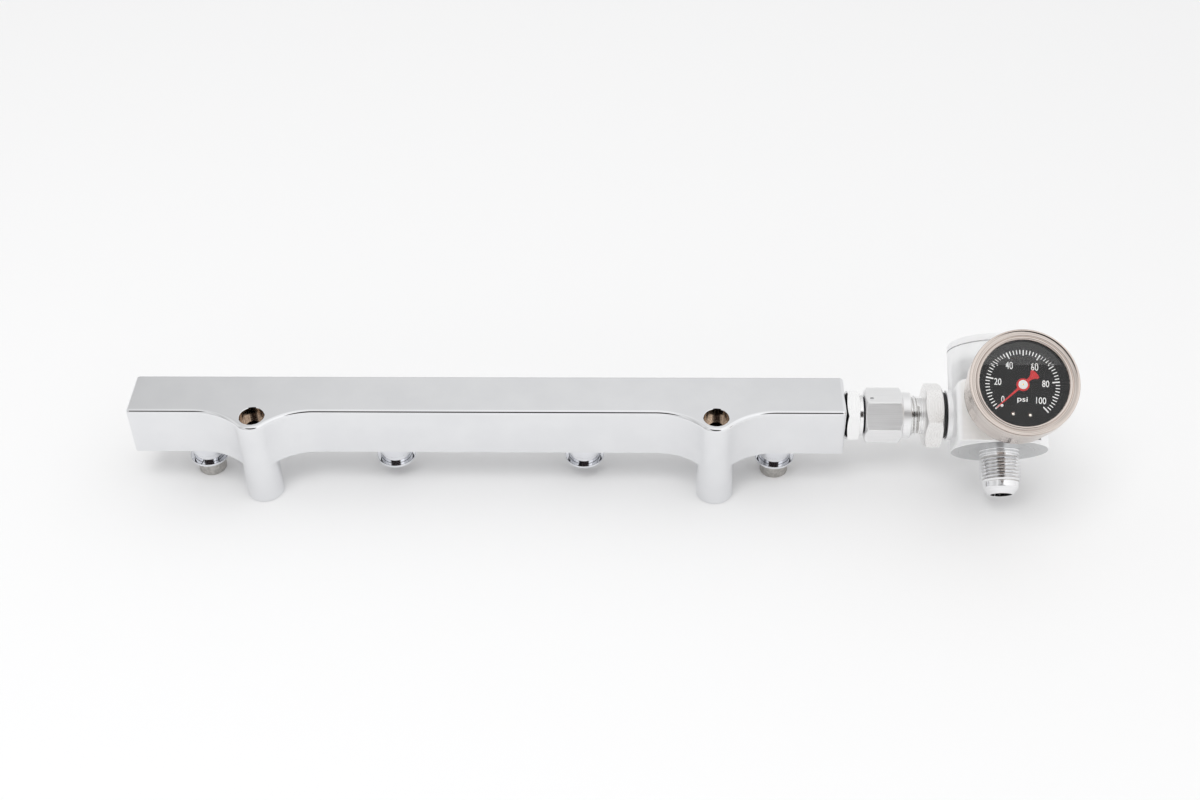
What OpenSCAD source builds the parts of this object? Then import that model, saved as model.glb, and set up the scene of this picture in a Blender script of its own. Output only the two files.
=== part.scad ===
// Four-injector fuel rail with a side-mounted pressure regulator and gauge.
// The origin is midway between the two mounting-leg axes, on the plane that the
// legs stand on. X runs along the bar towards the gauge, Y away from the viewer
// and Z up. All sizes are in millimetres.

/* [Bar] */
// Length of the bar
rail_len = 332; // [300:1:400]
// Depth of the bar, front to back
bar_w = 25.4; // [24:0.1:32]
// Height of the bar
bar_h = 25.4; // [24.5:0.1:32]
// Radius of the upright corners at the bar's ends
corner_r = 1.2; // [0.6:0.1:2.5]
// Diameter of the fuel gallery
gallery_d = 12.7; // [9:0.1:14]
// Radius of the hollow sides of the flares that carry the bolts
flare_r = 30; // [24:0.5:36]

/* [Mounting legs] */
// Distance between the two mounting bolts
bolt_spacing = 213; // [200:0.5:222]
// Distance from the bolt axes back to the bar's centre line
bolt_offset = 15.7; // [14.5:0.1:17.5]
// Diameter of a leg
leg_d = 17.5; // [15:0.1:19]
// Length of a leg below the bar
leg_h = 22.1; // [18:0.1:30]
// Diameter of the bolt's clearance hole
bolt_hole_d = 6.6; // [5.5:0.1:7]
// Diameter of the counterbore for the bolt head
head_bore_d = 11.6; // [10:0.1:12]
// Depth of the counterbore
head_bore_h = 6; // [4:0.1:10]

/* [Injector cups] */
// Distance from one injector to the next
cup_pitch = 90; // [84:0.5:94]
// Diameter of the injector bore in a cup
cup_bore_d = 13.7; // [13:0.05:14.2]
// Depth of the injector bore
cup_bore_h = 12; // [9:0.5:12.5]
// Outside diameter of a cup's barrel
cup_d = 16.6; // [16.2:0.1:17.4]
// Diameter of the lip at a cup's mouth
cup_lip_d = 18.6; // [18:0.1:20]
// Thickness of the lip
cup_lip_h = 1.5; // [1:0.1:2.5]
// Length of a cup below the bar
cup_h = 13.7; // [12:0.1:16]
// Diameter of the spigot that seats a cup in the bar
cup_spigot_d = 15; // [14.6:0.1:16]
// Length of that spigot
cup_spigot_h = 4.6; // [3:0.1:5]
// Diameter of the fuel passage in a cup
cup_feed_d = 8; // [5:0.1:9]
// Diameter of the plugs in the two outer cups
plug_d = 13.1; // [12.4:0.05:13.3]

/* [Fittings] */
// Outside diameter of the size 8 straight threads
thread_d = 19.05; // [18.5:0.01:19.5]
// Clear bore through the fittings
fitting_bore_d = 10; // [8:0.1:10.6]
// Width across the flats of the rail adapter and the swivel nut
nut_af = 22.2; // [21.8:0.1:24]
// Length of the rail adapter's hexagon
adapter_hex_h = 6; // [5:0.1:8]
// Length of the hexagon on the swivel nut
nut_hex_h = 17.2; // [16:0.1:20]
// Length of the round collar at the swivel nut's mouth
nut_collar_h = 3.8; // [3:0.1:5]
// Diameter of that collar
nut_collar_d = 21.2; // [20.8:0.1:21.7]
// Width across the flats of the regulator adapter
big_af = 27; // [25.5:0.1:28]
// Length of the regulator adapter's hexagon
big_hex_h = 8.2; // [6:0.1:10]

/* [Regulator] */
// Diameter of the regulator body
reg_d = 44.4; // [43:0.1:48]
// Distance from the inlet axis to the outlet end
reg_front = 17; // [15.5:0.1:20]
// Distance from the inlet axis to the back of the cap
reg_back = 34; // [33:0.1:40]
// Angle of the outlet below the horizontal
reg_tilt = 34.5; // [25:0.5:40]
// Distance from the regulator's axis to the top of the port block, under the gauge
block_top = 21.9; // [20.5:0.1:24]
// Width of the port block to the right of the gauge's axis
block_right = 15; // [12:0.5:18]
// Distance from the inlet axis to the back of the port block
block_back = 12; // [10:0.5:15]
// Thickness of the cap's flange
cap_flange_h = 3.6; // [3:0.1:5]
// Diameter of the inlet boss
boss_d = 23.2; // [22.6:0.1:25]
// Diameter of the outlet bore
outlet_bore_d = 9.7; // [8:0.1:10.3]
// Distance from the inlet axis to the outlet's tip
outlet_tip = 37.5; // [36:0.1:42]

/* [Gauge] */
// Diameter of the gauge's bezel
bezel_d = 47.4; // [46:0.1:52]
// Height of the bezel's front above the regulator's axis
bezel_front = 64; // [62:0.1:70]
// Depth of the bezel ring
bezel_h = 9; // [8:0.1:11]
// Radial width of the bezel's face, from its outside to the clear window
bezel_face_w = 4.6; // [4:0.1:5.5]
// Radial distance from the outside of the bezel to the outside of the case
bezel_lap = 1.4; // [1.2:0.1:2]
// Depth of the case, with the bezel
case_h = 28; // [27:0.1:31]
// Turn of the gauge from upright, clockwise as it is read
gauge_turn = 4.1; // [-20:0.1:20]
// Length of the pointer from its axis to its tip
pointer_len = 15.6; // [12:0.1:17]
// Width across the flats of the gauge's socket
socket_af = 14; // [12:0.1:14.5]
// Width of the block inside the case that holds the pressure tube
socket_block_w = 10; // [8:0.1:11]

/* [Gauge movement] */
// Gear module of the movement
gear_m = 0.25; // [0.22:0.01:0.26]
// Teeth on the pinion
pinion_teeth = 10; // [10:1:10]
// Teeth that the sector would have on a full circle
sector_teeth = 80; // [80:1:80]
// Distance from the inside of the case to the middle of the pressure tube
tube_room = 6; // [5.5:0.1:6.4]

/* [Hidden] */
$fn = 72;
// Amount by which a cutter passes through the face it opens
eps = 0.5;
// Radial gap between a thread and its tapped hole, both drawn as plain rounds
thread_gap = 0.06;
// Radial gap of parts that are pressed or screwed together
seat_gap = 0.03;
// Radial gap of a pivot in its bearing
pivot_gap = 0.04;

// Height and depth of the bar's centre line, which is also the fittings' axis
axis_y = bolt_offset;
axis_z = leg_h + bar_h / 2;
rail_end = rail_len / 2;
leg_r = leg_d / 2;
face_y = bolt_offset - bar_w / 2;
cup_x = [for (i = [0 : 3]) (i - 1.5) * cup_pitch];

// Straight-thread ports that take an O-ring under the fitting's hexagon
port_r = thread_d / 2 - 0.8;
port_depth = 13;
ring_wire_r = 1.05;
ring_seat_gap = 0.8;

// Stations along the fittings' axis, measured from the bar's end
hex1_x = ring_seat_gap;
neck_x = hex1_x + adapter_hex_h;
nut_x = neck_x + 2.5;
nut_end_x = nut_x + nut_hex_h + nut_collar_h;
relief_x = nut_end_x + 3.8;
big_x = relief_x + 2.4;
gland_x = big_x + big_hex_h;
boss_x = gland_x + 2 * ring_wire_r;
boss_len = 24.4;
reg_x = boss_x + boss_len;
// Flare seat inside the swivel nut, a cone of 37 degrees on each side
flare_slope = tan(37);
tail_r = 8.4;
tail_end_x = nut_x + 9.7;
flare_r_small = fitting_bore_d / 2 + 0.3;
flare_r_big = 7.8;
seat_x = tail_end_x - (flare_r_big - flare_r_small) / flare_slope;
wire_r = 0.58;
wire_x = nut_x + 3;
// Turn of the swivel nut about its axis, and the direction of the wire's hole in it
nut_turn = 21.5;
wire_dir = nut_turn + 162;
shoulder_x = nut_x + 5.2;

// Stations of the regulator along its own axis, from the inlet towards the outlet
reg_r = reg_d / 2;
block_left = -reg_r;
block_edge = 2.6;
block_corner = 4;
cap_s = -reg_back + cap_flange_h;
shoulder_s = -19;
disc_h = 1;
skirt_r = 17.4;
cap_ring_r = 0.85;
chamber_r = 13.2;
well_r = 7.2;
well_end_s = 6;
seat_tube_r = 3.6;
seat_top_s = shoulder_s + 0.6;
outlet_thread_s = reg_front + 3.4;
outlet_relief_s = outlet_tip - 5.6;
outlet_nose_s = outlet_tip - 3;

// Stations of the gauge along its own axis, from the regulator's axis outwards
bezel_back = bezel_front - bezel_h;
case_back = bezel_front - case_h;
case_r = bezel_d / 2 - bezel_lap;
case_wall = 0.9;
window_r = bezel_d / 2 - bezel_face_w;
tube_r = case_r - case_wall - tube_room;
lens_h = 2;
lip_h = 1.5;
lens_top = bezel_front - lip_h;
lens_bottom = lens_top - lens_h;
gasket_h = 1.4;
dial_z = bezel_front - 7.6;
dial_h = 0.6;
stem_r = 4.85;
socket_neck_r = 5.5;
stem_h = 9;
flats_from = block_top + 1.8;
plate_h = 1;
back_plate_z = case_back + 7;
front_plate_z = back_plate_z + 7;
gear_z = back_plate_z + 3;
gear_h = 1.2;
pointer_z = dial_z + dial_h + 0.9;
arbor_r = 0.5;
pinion_r = gear_m * pinion_teeth / 2;
sector_r = gear_m * sector_teeth / 2;
pivot_dir = 225;
pivot_at = [for (v = [cos(pivot_dir), sin(pivot_dir)]) (pinion_r + sector_r) * v];
arm_dir = 100;
arm_len = 4.5;
link_pin = pivot_at + arm_len * [cos(arm_dir), sin(arm_dir)];
tube_t = 2.2;
tube_h = 6;
tube_z = back_plate_z + 0.6;
tab_h = 1.1;
slot_r = 0.72;
root_dir = -68;
tip_dir = 200;
tip_at = tube_r * [cos(tip_dir), sin(tip_dir)];
pillar_ring_r = tube_r - 4.9;
pillars = [for (a = [45, -56, 156]) pillar_ring_r * [cos(a), sin(a)]];
screw_at = [for (x = [-3.65, 3.65]) [x, 6 - window_r]];
zero_dir = 225;
stop_at = (window_r - 6.1) * [cos(zero_dir + 3.8), sin(zero_dir + 3.8)];

// Puts a round drawn along Z on the fittings' axis, x millimetres past the bar's end
module on_axis(x) {
  translate([rail_end + x, axis_y, axis_z]) rotate([0, 90, 0]) children();
}

// Regulator frame: Z runs to the outlet, Y to the gauge
module reg_frame() {
  translate([rail_end + reg_x, axis_y, axis_z]) rotate([90 + reg_tilt, 0, 0]) children();
}

// Gauge frame: Z runs out through the dial, Y to the top of the dial
module gauge_frame() {
  translate([rail_end + reg_x, axis_y, axis_z]) rotate([reg_tilt, 0, 0])
    rotate([0, 0, -gauge_turn]) children();
}

// Round from one station to another
module round_bar(r, from, to) {
  translate([0, 0, from]) cylinder(r = r, h = to - from);
}

// Ring of round section about Z
module o_ring(mean_r, section_r) {
  rotate_extrude() translate([mean_r, 0]) circle(r = section_r, $fn = 32);
}

// Hexagon with its corners turned off at both ends
module hex_bar(af, from, to, edge = 0.9) {
  corner = af / sqrt(3);
  intersection() {
    translate([0, 0, from]) cylinder(r = corner, h = to - from, $fn = 6);
    rotate_extrude() polygon([[0, from], [af / 2 - 0.2, from], [corner + 0.1, from + edge],
      [corner + 0.1, to - edge], [af / 2 - 0.2, to], [0, to]]);
  }
}

// Plan of a rectangle with round corners
module round_rect(l, w, r) {
  square([l - 2 * r, w], center = true);
  square([l, w - 2 * r], center = true);
  for (x = [-1, 1], y = [-1, 1]) translate([x * (l / 2 - r), y * (w / 2 - r)]) circle(r = r);
}

// Plan of one flare about its bolt axis: the nose is the leg's own circle, and a
// hollow arc on each side runs from it into the bar's front face
module flare_plan() {
  run = sqrt(pow(flare_r + leg_r, 2) - pow(flare_r - face_y, 2));
  k = leg_r / (flare_r + leg_r);
  circle(r = leg_r);
  difference() {
    polygon([[-run, face_y], [-run, face_y + 2], [run, face_y + 2], [run, face_y],
      [k * run, k * (face_y - flare_r)], [-k * run, k * (face_y - flare_r)]]);
    for (s = [-1, 1]) translate([s * run, face_y - flare_r]) circle(r = flare_r, $fn = 180);
  }
}

module rail_body() {
  color([0.86, 0.87, 0.89]) difference() {
    union() {
      translate([0, 0, leg_h]) linear_extrude(bar_h) {
        translate([0, axis_y]) round_rect(rail_len, bar_w, corner_r);
        for (s = [-1, 1]) translate([s * bolt_spacing / 2, 0]) flare_plan();
      }
      for (s = [-1, 1]) translate([s * bolt_spacing / 2, 0, 0]) cylinder(r = leg_r, h = leg_h + 1);
    }
    for (s = [-1, 1]) translate([s * bolt_spacing / 2, 0, 0]) {
      translate([0, 0, -eps]) cylinder(d = bolt_hole_d, h = leg_h + bar_h + 2 * eps);
      translate([0, 0, leg_h + bar_h - head_bore_h]) cylinder(d = head_bore_d, h = head_bore_h + eps);
    }
    on_axis(-rail_len - eps) cylinder(d = gallery_d, h = rail_len + 2 * eps);
    for (turn = [0, 180]) translate([0, axis_y, 0]) rotate([0, 0, turn])
      translate([0, -axis_y, 0]) rail_port();
    for (x = cup_x) translate([x, axis_y, leg_h - eps]) {
      cylinder(d = cup_spigot_d + 2 * seat_gap, h = cup_spigot_h + eps);
      cylinder(d = cup_feed_d, h = bar_h / 2 + eps);
    }
  }
}

// Tapped port at the bar's right-hand end, with the recess for its O-ring
module rail_port() {
  on_axis(-port_depth) cylinder(r = port_r + thread_gap, h = port_depth + eps);
  on_axis(-1.5) cylinder(r = port_r + 1.8, h = 1.5 + eps);
}

// Injector cup: the spigot seats in the bar, the clip groove is above the lip
module injector_cup(i) {
  r = cup_d / 2;
  top = leg_h;
  bottom = leg_h - cup_h;
  lip = bottom + cup_lip_h;
  translate([cup_x[i], axis_y, 0]) color([0.80, 0.82, 0.85]) difference() {
    rotate_extrude() polygon([[0, top + cup_spigot_h], [cup_spigot_d / 2, top + cup_spigot_h],
      [cup_spigot_d / 2, top], [cup_lip_d / 2, top], [cup_lip_d / 2, top - 1.8],
      [r, top - 2.3], [r, lip + 3.0], [r - 0.9, lip + 2.4], [r - 0.9, lip],
      [cup_lip_d / 2 - 0.4, lip], [cup_lip_d / 2, lip - 0.4], [cup_lip_d / 2, bottom + 0.4],
      [cup_lip_d / 2 - 0.4, bottom], [0, bottom]]);
    translate([0, 0, bottom - eps]) cylinder(d = cup_bore_d, h = cup_bore_h + eps);
    translate([0, 0, bottom]) cylinder(d = cup_feed_d, h = cup_h + cup_spigot_h + eps);
  }
}

// Turned plug that fills an outer cup's bore and stands level with the legs
module cup_plug(i) {
  top = leg_h - cup_h + cup_bore_h;
  r = plug_d / 2;
  translate([cup_x[i], axis_y, 0]) color([0.55, 0.55, 0.56]) rotate_extrude()
    polygon([[0, 0], [r - 0.4, 0], [r, 0.4], [r, top - 1], [r - 1, top], [0, top]]);
}

// Adapter in the bar's right-hand port: hexagon, neck and swivel tail
module rail_adapter() {
  r = port_r;
  color([0.85, 0.86, 0.88]) difference() {
    union() {
      on_axis(0) round_bar(r, -port_depth + 2, -1.3);
      on_axis(0) round_bar(r - 0.7, -1.4, hex1_x + 0.1);
      on_axis(0) rotate([0, 0, -10]) hex_bar(nut_af, hex1_x, neck_x, 0.7);
      on_axis(0) round_bar(9.6, neck_x - 0.1, neck_x + 1.1);
      on_axis(0) round_bar(8.9, neck_x, nut_x - 0.25);
      on_axis(0) round_bar(tail_r, neck_x, tail_end_x);
      on_axis(0) round_bar(port_r + 0.3, shoulder_x + 0.3, shoulder_x + 2.6);
    }
    on_axis(0) round_bar(fitting_bore_d / 2, -port_depth, tail_end_x + eps);
    on_axis(0) rotate_extrude() polygon([[0, seat_x], [flare_r_small, seat_x],
      [flare_r_big, tail_end_x], [flare_r_big, tail_end_x + eps], [0, tail_end_x + eps]]);
    on_axis(wire_x) o_ring(tail_r + 0.05, wire_r + 0.05);
  }
}

module rail_adapter_o_ring() {
  color([0.05, 0.05, 0.05]) on_axis(hex1_x - ring_wire_r) o_ring(port_r + 0.35, ring_wire_r);
}

module swivel_nut() {
  color([0.78, 0.79, 0.80]) difference() {
    union() {
      on_axis(0) rotate([0, 0, nut_turn]) hex_bar(nut_af, nut_x, nut_x + nut_hex_h, 1.2);
      on_axis(0) round_bar(nut_collar_d / 2, nut_x + nut_hex_h - 1, nut_end_x);
    }
    on_axis(0) round_bar(tail_r + 0.1, nut_x - eps, nut_end_x);
    on_axis(0) round_bar(thread_d / 2 - 0.15 + thread_gap, shoulder_x, nut_end_x + eps);
    on_axis(wire_x) o_ring(tail_r + 0.05, wire_r + 0.05);
    on_axis(wire_x) rotate([0, 90, wire_dir]) cylinder(r = 0.75, h = nut_af);
  }
}

module swivel_wire() {
  color([0.6, 0.6, 0.62]) on_axis(wire_x) o_ring(tail_r + 0.05, wire_r);
}

// Adapter between the swivel nut and the regulator's inlet
module housing_adapter() {
  r = thread_d / 2 - 0.15;
  gap = 0.05;
  color([0.85, 0.86, 0.88]) difference() {
    union() {
      on_axis(0) rotate_extrude() polygon([[0, seat_x + gap], [flare_r_small, seat_x + gap],
        [flare_r_big, tail_end_x + gap], [flare_r_big, tail_end_x + 2], [0, tail_end_x + 2]]);
      on_axis(0) round_bar(r, tail_end_x + 2, relief_x);
      on_axis(0) round_bar(8.7, relief_x - 0.1, big_x + 0.1);
      on_axis(0) hex_bar(big_af, big_x, gland_x, 1.1);
      on_axis(0) round_bar(port_r - 0.2, gland_x - 0.1, boss_x);
      on_axis(0) round_bar(port_r, boss_x - 0.1, boss_x + 10);
    }
    on_axis(0) round_bar(fitting_bore_d / 2, seat_x - eps, boss_x + 10 + eps);
  }
}

module housing_adapter_o_ring() {
  color([0.05, 0.05, 0.05]) on_axis(gland_x + ring_wire_r) o_ring(port_r + 0.85, ring_wire_r);
}

// Section of the port block across the regulator's axis, with its upper left edge rounded
module block_section() {
  r = block_edge;
  polygon([[block_left, 0], [block_left, block_top - r], [block_left + r, block_top - r],
    [block_left + r, block_top], [block_right, block_top], [block_right, 0]]);
  intersection() {
    translate([block_left + r, block_top - r]) circle(r = r);
    translate([block_left, block_top - r]) square(r);
  }
}

// Plan of the port block seen from the gauge, with its back corners rounded
module block_plan() {
  r = block_corner;
  front = reg_front - 0.5;
  polygon([[block_left, -front], [block_left, block_back - r], [block_left + r, block_back - r],
    [block_left + r, block_back], [block_right - r, block_back], [block_right - r, block_back - r],
    [block_right, block_back - r], [block_right, -front]]);
  for (x = [block_left + r, block_right - r]) translate([x, block_back - r]) circle(r = r);
}

// Regulator body: a round barrel, a squared port block for the inlet and the gauge,
// the inlet boss on the left and the outlet's flare fitting on the front
module regulator_body() {
  neck_r = port_r;
  gauge_bore = block_top - stem_h - 2;
  color([0.88, 0.89, 0.91]) reg_frame() difference() {
    union() {
      rotate_extrude() polygon([[0, cap_s], [reg_r - 0.5, cap_s], [reg_r, cap_s + 0.5],
        [reg_r, reg_front - 0.6], [reg_r - 0.6, reg_front], [0, reg_front]]);
      intersection() {
        translate([0, 0, -block_back - 1]) linear_extrude(block_back + reg_front + 1)
          block_section();
        translate([0, block_top + 1, 0]) rotate([90, 0, 0]) linear_extrude(block_top + 2)
          block_plan();
      }
      rotate([0, -90, 0]) cylinder(d = boss_d, h = boss_len);
      round_bar(neck_r, reg_front - 1, outlet_nose_s);
      round_bar(neck_r + 0.35, reg_front + 1.1, reg_front + 1.9);
      round_bar(thread_d / 2 - 0.15, outlet_thread_s, outlet_relief_s);
      rotate_extrude() polygon([[0, outlet_relief_s], [8.3, outlet_relief_s],
        [8.3, outlet_nose_s], [5.9, outlet_tip], [0, outlet_tip]]);
    }
    rotate([0, -90, 0]) round_bar(port_r + thread_gap, boss_len - 12.5, boss_len + eps);
    rotate([0, -90, 0]) round_bar(fitting_bore_d / 2, 0, boss_len);
    round_bar(skirt_r + thread_gap, cap_s - eps, shoulder_s);
    round_bar(chamber_r, shoulder_s - eps, shoulder_s + 1.2);
    round_bar(well_r, shoulder_s, well_end_s);
    round_bar(outlet_bore_d / 2, well_end_s - eps, outlet_tip + eps);
    rotate([-90, 0, 0]) round_bar(stem_r + thread_gap, gauge_bore, block_top + eps);
    rotate([-90, 0, 0]) round_bar(2.5, 0, block_top);
  }
}

// Screwed cap: the flange shows as the back of the housing, the skirt clamps the
// diaphragm and holds the spring
module regulator_cap() {
  r = reg_r;
  edge = 2.6;
  color([0.88, 0.89, 0.91]) reg_frame() difference() {
    union() {
      rotate_extrude() {
        polygon([[0, -reg_back], [r - edge, -reg_back], [r - edge, -reg_back + edge],
          [r, -reg_back + edge], [r, cap_s - 0.35], [0, cap_s - 0.35]]);
        intersection() {
          translate([r - edge, -reg_back + edge]) circle(r = edge);
          translate([0, -reg_back]) square([r, edge]);
        }
      }
      round_bar(r - 1.1, cap_s - 0.4, cap_s);
      round_bar(skirt_r, cap_s - 0.1, shoulder_s - disc_h);
    }
    round_bar(chamber_r, -reg_back + 5.5, shoulder_s);
    translate([0, 0, -reg_back - eps]) cylinder(r = 5 / cos(30), h = 3 + eps, $fn = 6);
    translate([0, 0, cap_s + 2.4]) rotate_extrude()
      translate([skirt_r - 2 * cap_ring_r, -cap_ring_r - 0.05]) square([4, 2 * cap_ring_r + 0.1]);
  }
}

module cap_o_ring() {
  color([0.05, 0.05, 0.05]) reg_frame() translate([0, 0, cap_s + 2.4])
    o_ring(skirt_r - cap_ring_r, cap_ring_r);
}

// Points of a ring of the spring's wire, t degrees along the coil
function coil_ring(mean_r, section_r, rise, t, sides) = [for (k = [0 : sides - 1])
  let (a = 360 * k / sides, r = mean_r + section_r * cos(a))
  [r * cos(t), r * sin(t), rise * t / 360 + section_r * sin(a)]];

// Round wire wound about Z, from z = section_r upwards
module coil_spring(mean_r, section_r, rise, turns) {
  sides = 8;
  steps = turns * 24;
  pts = [for (i = [0 : steps]) each coil_ring(mean_r, section_r, rise, 15 * i, sides)];
  side_faces = [for (i = [0 : steps - 1], k = [0 : sides - 1]) let (n = (k + 1) % sides)
    [i * sides + k, i * sides + n, (i + 1) * sides + n, (i + 1) * sides + k]];
  ends = [[for (k = [0 : sides - 1]) sides - 1 - k], [for (k = [0 : sides - 1]) steps * sides + k]];
  translate([0, 0, section_r]) polyhedron(points = pts, faces = concat(side_faces, ends));
}

module regulator_spring() {
  from = -reg_back + 5.5;
  to = shoulder_s - disc_h - 0.8;
  section_r = 0.85;
  turns = 3;
  color([0.5, 0.5, 0.52]) reg_frame() translate([0, 0, from])
    coil_spring(8.6, section_r, (to - from - 2 * section_r) / turns, turns);
}

// Moulded diaphragm with the spring's cup bonded to it and a pad over the return seat
module diaphragm() {
  color([0.12, 0.12, 0.13]) reg_frame() {
    round_bar(skirt_r - 0.2, shoulder_s - disc_h, shoulder_s);
    round_bar(11, shoulder_s - disc_h - 0.8, shoulder_s - disc_h + 0.1);
    round_bar(7, shoulder_s - disc_h - 2.4, shoulder_s - disc_h);
    round_bar(5, shoulder_s - 0.1, seat_top_s);
  }
}

// Return seat: a tube that stands in the outlet bore, closed by the diaphragm's pad
module return_seat() {
  color([0.80, 0.65, 0.30]) reg_frame() difference() {
    union() {
      round_bar(seat_tube_r, seat_top_s, well_end_s + 8);
      round_bar(outlet_bore_d / 2 - seat_gap, well_end_s, well_end_s + 8);
      round_bar(outlet_bore_d / 2 + 1, well_end_s - 1.5, well_end_s);
    }
    round_bar(2.4, seat_top_s - eps, well_end_s + 8 + eps);
  }
}

// Brass socket: threaded stem, spanner flats, and inside the case a block with the
// post that holds the pressure tube's root
module gauge_socket() {
  base_from = case_back + case_wall;
  base_to = back_plate_z;
  post_y = -tube_r - 1.6;
  w = socket_block_w;
  color([0.72, 0.56, 0.25]) gauge_frame() difference() {
    union() {
      round_bar(stem_r, block_top - stem_h, flats_from + 0.1);
      hex_bar(socket_af, flats_from, case_back, 0.8);
      round_bar(socket_neck_r, case_back - 0.1, base_from + 0.1);
      translate([-w / 2, post_y, base_from]) cube([w, socket_neck_r + 0.5 - post_y, base_to - base_from]);
      translate([-w / 2, post_y, base_to - 0.1]) cube([w, 4.6, front_plate_z - base_to + 0.1]);
    }
    round_bar(1.5, block_top - stem_h - eps, base_to - 2);
    translate([0, 0, base_to - 3]) rotate([90, 0, 0]) round_bar(1, 0, tube_r);
    translate([0, 0, base_to - 1.2]) cylinder(r = 1, h = 2);
    tube_block(root_dir, -2.4, 0.6, seat_gap);
  }
}

// Block brazed round an end of the pressure tube, running from one place to another along it
module tube_block(dir, from, to, gap) {
  w = tube_t + 0.4 + 2 * gap;
  h = tube_h + 0.4 + 2 * gap;
  rotate([0, 0, dir]) translate([tube_r - w / 2, from - gap, tube_z - 0.2 - gap])
    cube([w, to - from + 2 * gap, h]);
}

// Drawn case with a rounded back edge and a hole for the socket
module gauge_case() {
  edge = 3;
  color([0.75, 0.72, 0.70]) gauge_frame() difference() {
    rotate_extrude() difference() {
      union() {
        translate([0, case_back + edge]) square([case_r, bezel_back + 3.2 - case_back - edge]);
        translate([0, case_back]) square([case_r - edge, edge]);
        intersection() {
          translate([case_r - edge, case_back + edge]) circle(r = edge);
          translate([case_r - edge, case_back]) square([edge, edge]);
        }
      }
      translate([0, case_back + edge])
        square([case_r - case_wall, bezel_front - case_back - edge]);
      translate([0, case_back + case_wall]) square([case_r - edge, edge]);
      intersection() {
        translate([case_r - edge, case_back + edge]) circle(r = edge - case_wall);
        translate([case_r - edge, case_back]) square([edge, edge]);
      }
    }
    round_bar(socket_neck_r + seat_gap, case_back - eps, case_back + 2);
    fill_place() cylinder(r = 2.6, h = 6, center = true);
  }
}

// Place of the filling plug: the top of the case wall
module fill_place() {
  translate([0, case_r, case_back + 11]) rotate([90, 0, 0]) children();
}

module fill_plug() {
  color([0.06, 0.06, 0.06]) gauge_frame() fill_place() {
    translate([0, 0, -1.1]) cylinder(r = 3.4, h = 1.1);
    translate([0, 0, -0.1]) cylinder(r = 2.6 - seat_gap, h = 1.8);
    translate([0, 0, case_wall + 0.25]) cylinder(r = 3.1, h = 0.8);
  }
}

// Rolled bezel: stepped rings run down to the window
module gauge_bezel() {
  r = bezel_d / 2;
  w = window_r;
  f = bezel_front;
  b = bezel_back;
  bore = case_r + seat_gap;
  color([0.78, 0.75, 0.73]) gauge_frame() rotate_extrude() {
    difference() {
      polygon([[bore, b + 0.5], [bore + 0.4, b], [r - 0.7, b], [r - 0.7, b + 1.2],
        [r, b + 1.6], [r, f - 1.6], [r - 1.6, f], [r - 1.7, f], [w + 1.7, f - 0.5],
        [w, f - 1.1], [w, lens_top], [w + 1.6, lens_top], [w + 1.6, lens_bottom - gasket_h],
        [bore, lens_bottom - gasket_h]]);
      translate([w + 2.4, f]) circle(r = 0.55, $fn = 24);
    }
    intersection() {
      translate([r - 1.6, f - 1.6]) circle(r = 1.6);
      translate([r - 1.6, f - 1.6]) square(1.6);
    }
  }
}

module gauge_lens() {
  color([0.9, 0.95, 1, 0.3]) gauge_frame()
    round_bar(window_r + 1.6 - seat_gap, lens_bottom, lens_top);
}

module lens_gasket() {
  color([0.08, 0.08, 0.08]) gauge_frame() difference() {
    round_bar(window_r + 1.6 - seat_gap, lens_bottom - gasket_h, lens_bottom);
    round_bar(window_r + 0.2, lens_bottom - gasket_h - eps, lens_bottom + eps);
  }
}

module gauge_dial() {
  color([0.10, 0.10, 0.11]) gauge_frame() difference() {
    round_bar(window_r + 1.2, dial_z, dial_z + dial_h);
    round_bar(1.2, dial_z - eps, dial_z + dial_h + eps);
    for (p = screw_at) translate([p[0], p[1], 0]) round_bar(0.62, dial_z - eps, dial_z + 1 + eps);
    translate([stop_at[0], stop_at[1], 0]) round_bar(0.4 + seat_gap, dial_z - eps, dial_z + 1 + eps);
  }
}

// Two small brass screws that hold the dial to the movement
module dial_screws() {
  color([0.85, 0.70, 0.40]) gauge_frame() for (p = screw_at) translate([p[0], p[1], 0]) {
    intersection() {
      round_bar(0.95, dial_z + dial_h, dial_z + dial_h + 0.7);
      translate([0, 0, dial_z + dial_h - 0.5]) sphere(r = 1.2);
    }
    round_bar(0.58, dial_z - 1.5, dial_z + dial_h + 0.1);
  }
}

module stop_pin() {
  color([0.95, 0.95, 0.94]) gauge_frame() translate([stop_at[0], stop_at[1], 0])
    round_bar(0.4, dial_z, pointer_z + 0.1);
}

// Arc of the pressure tube's section, from its root to its end
module tube_arc(w, h, to) {
  translate([0, 0, tube_z + (tube_h - h) / 2]) rotate([0, 0, root_dir])
    rotate_extrude(angle = to - root_dir) translate([tube_r - w / 2, 0]) square([w, h]);
}

// Flattened pressure tube: it starts in the socket's post and ends in a slotted tab
module bourdon_tube() {
  end_dir = tip_dir - 12;
  wall = 0.35;
  color([0.75, 0.58, 0.28]) gauge_frame() {
    difference() {
      union() {
        tube_arc(tube_t, tube_h, end_dir);
        tube_block(root_dir, -2.4, 0.6, 0);
        tube_block(end_dir, -0.6, 1.6, 0);
      }
      tube_arc(tube_t - 2 * wall, tube_h - 2 * wall, end_dir);
      rotate([0, 0, root_dir]) translate([tube_r, 0.3, tube_z + tube_h / 2]) rotate([90, 0, 0])
        cylinder(r = 0.6, h = 4);
    }
    difference() {
      translate([tip_at[0], tip_at[1], 0]) rotate([0, 0, tip_dir])
        translate([-1.6, -3, tube_z]) cube([5.7, 4.9, tab_h]);
      tip_slot(tube_z - eps, tube_z + tab_h + eps);
    }
  }
}

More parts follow.
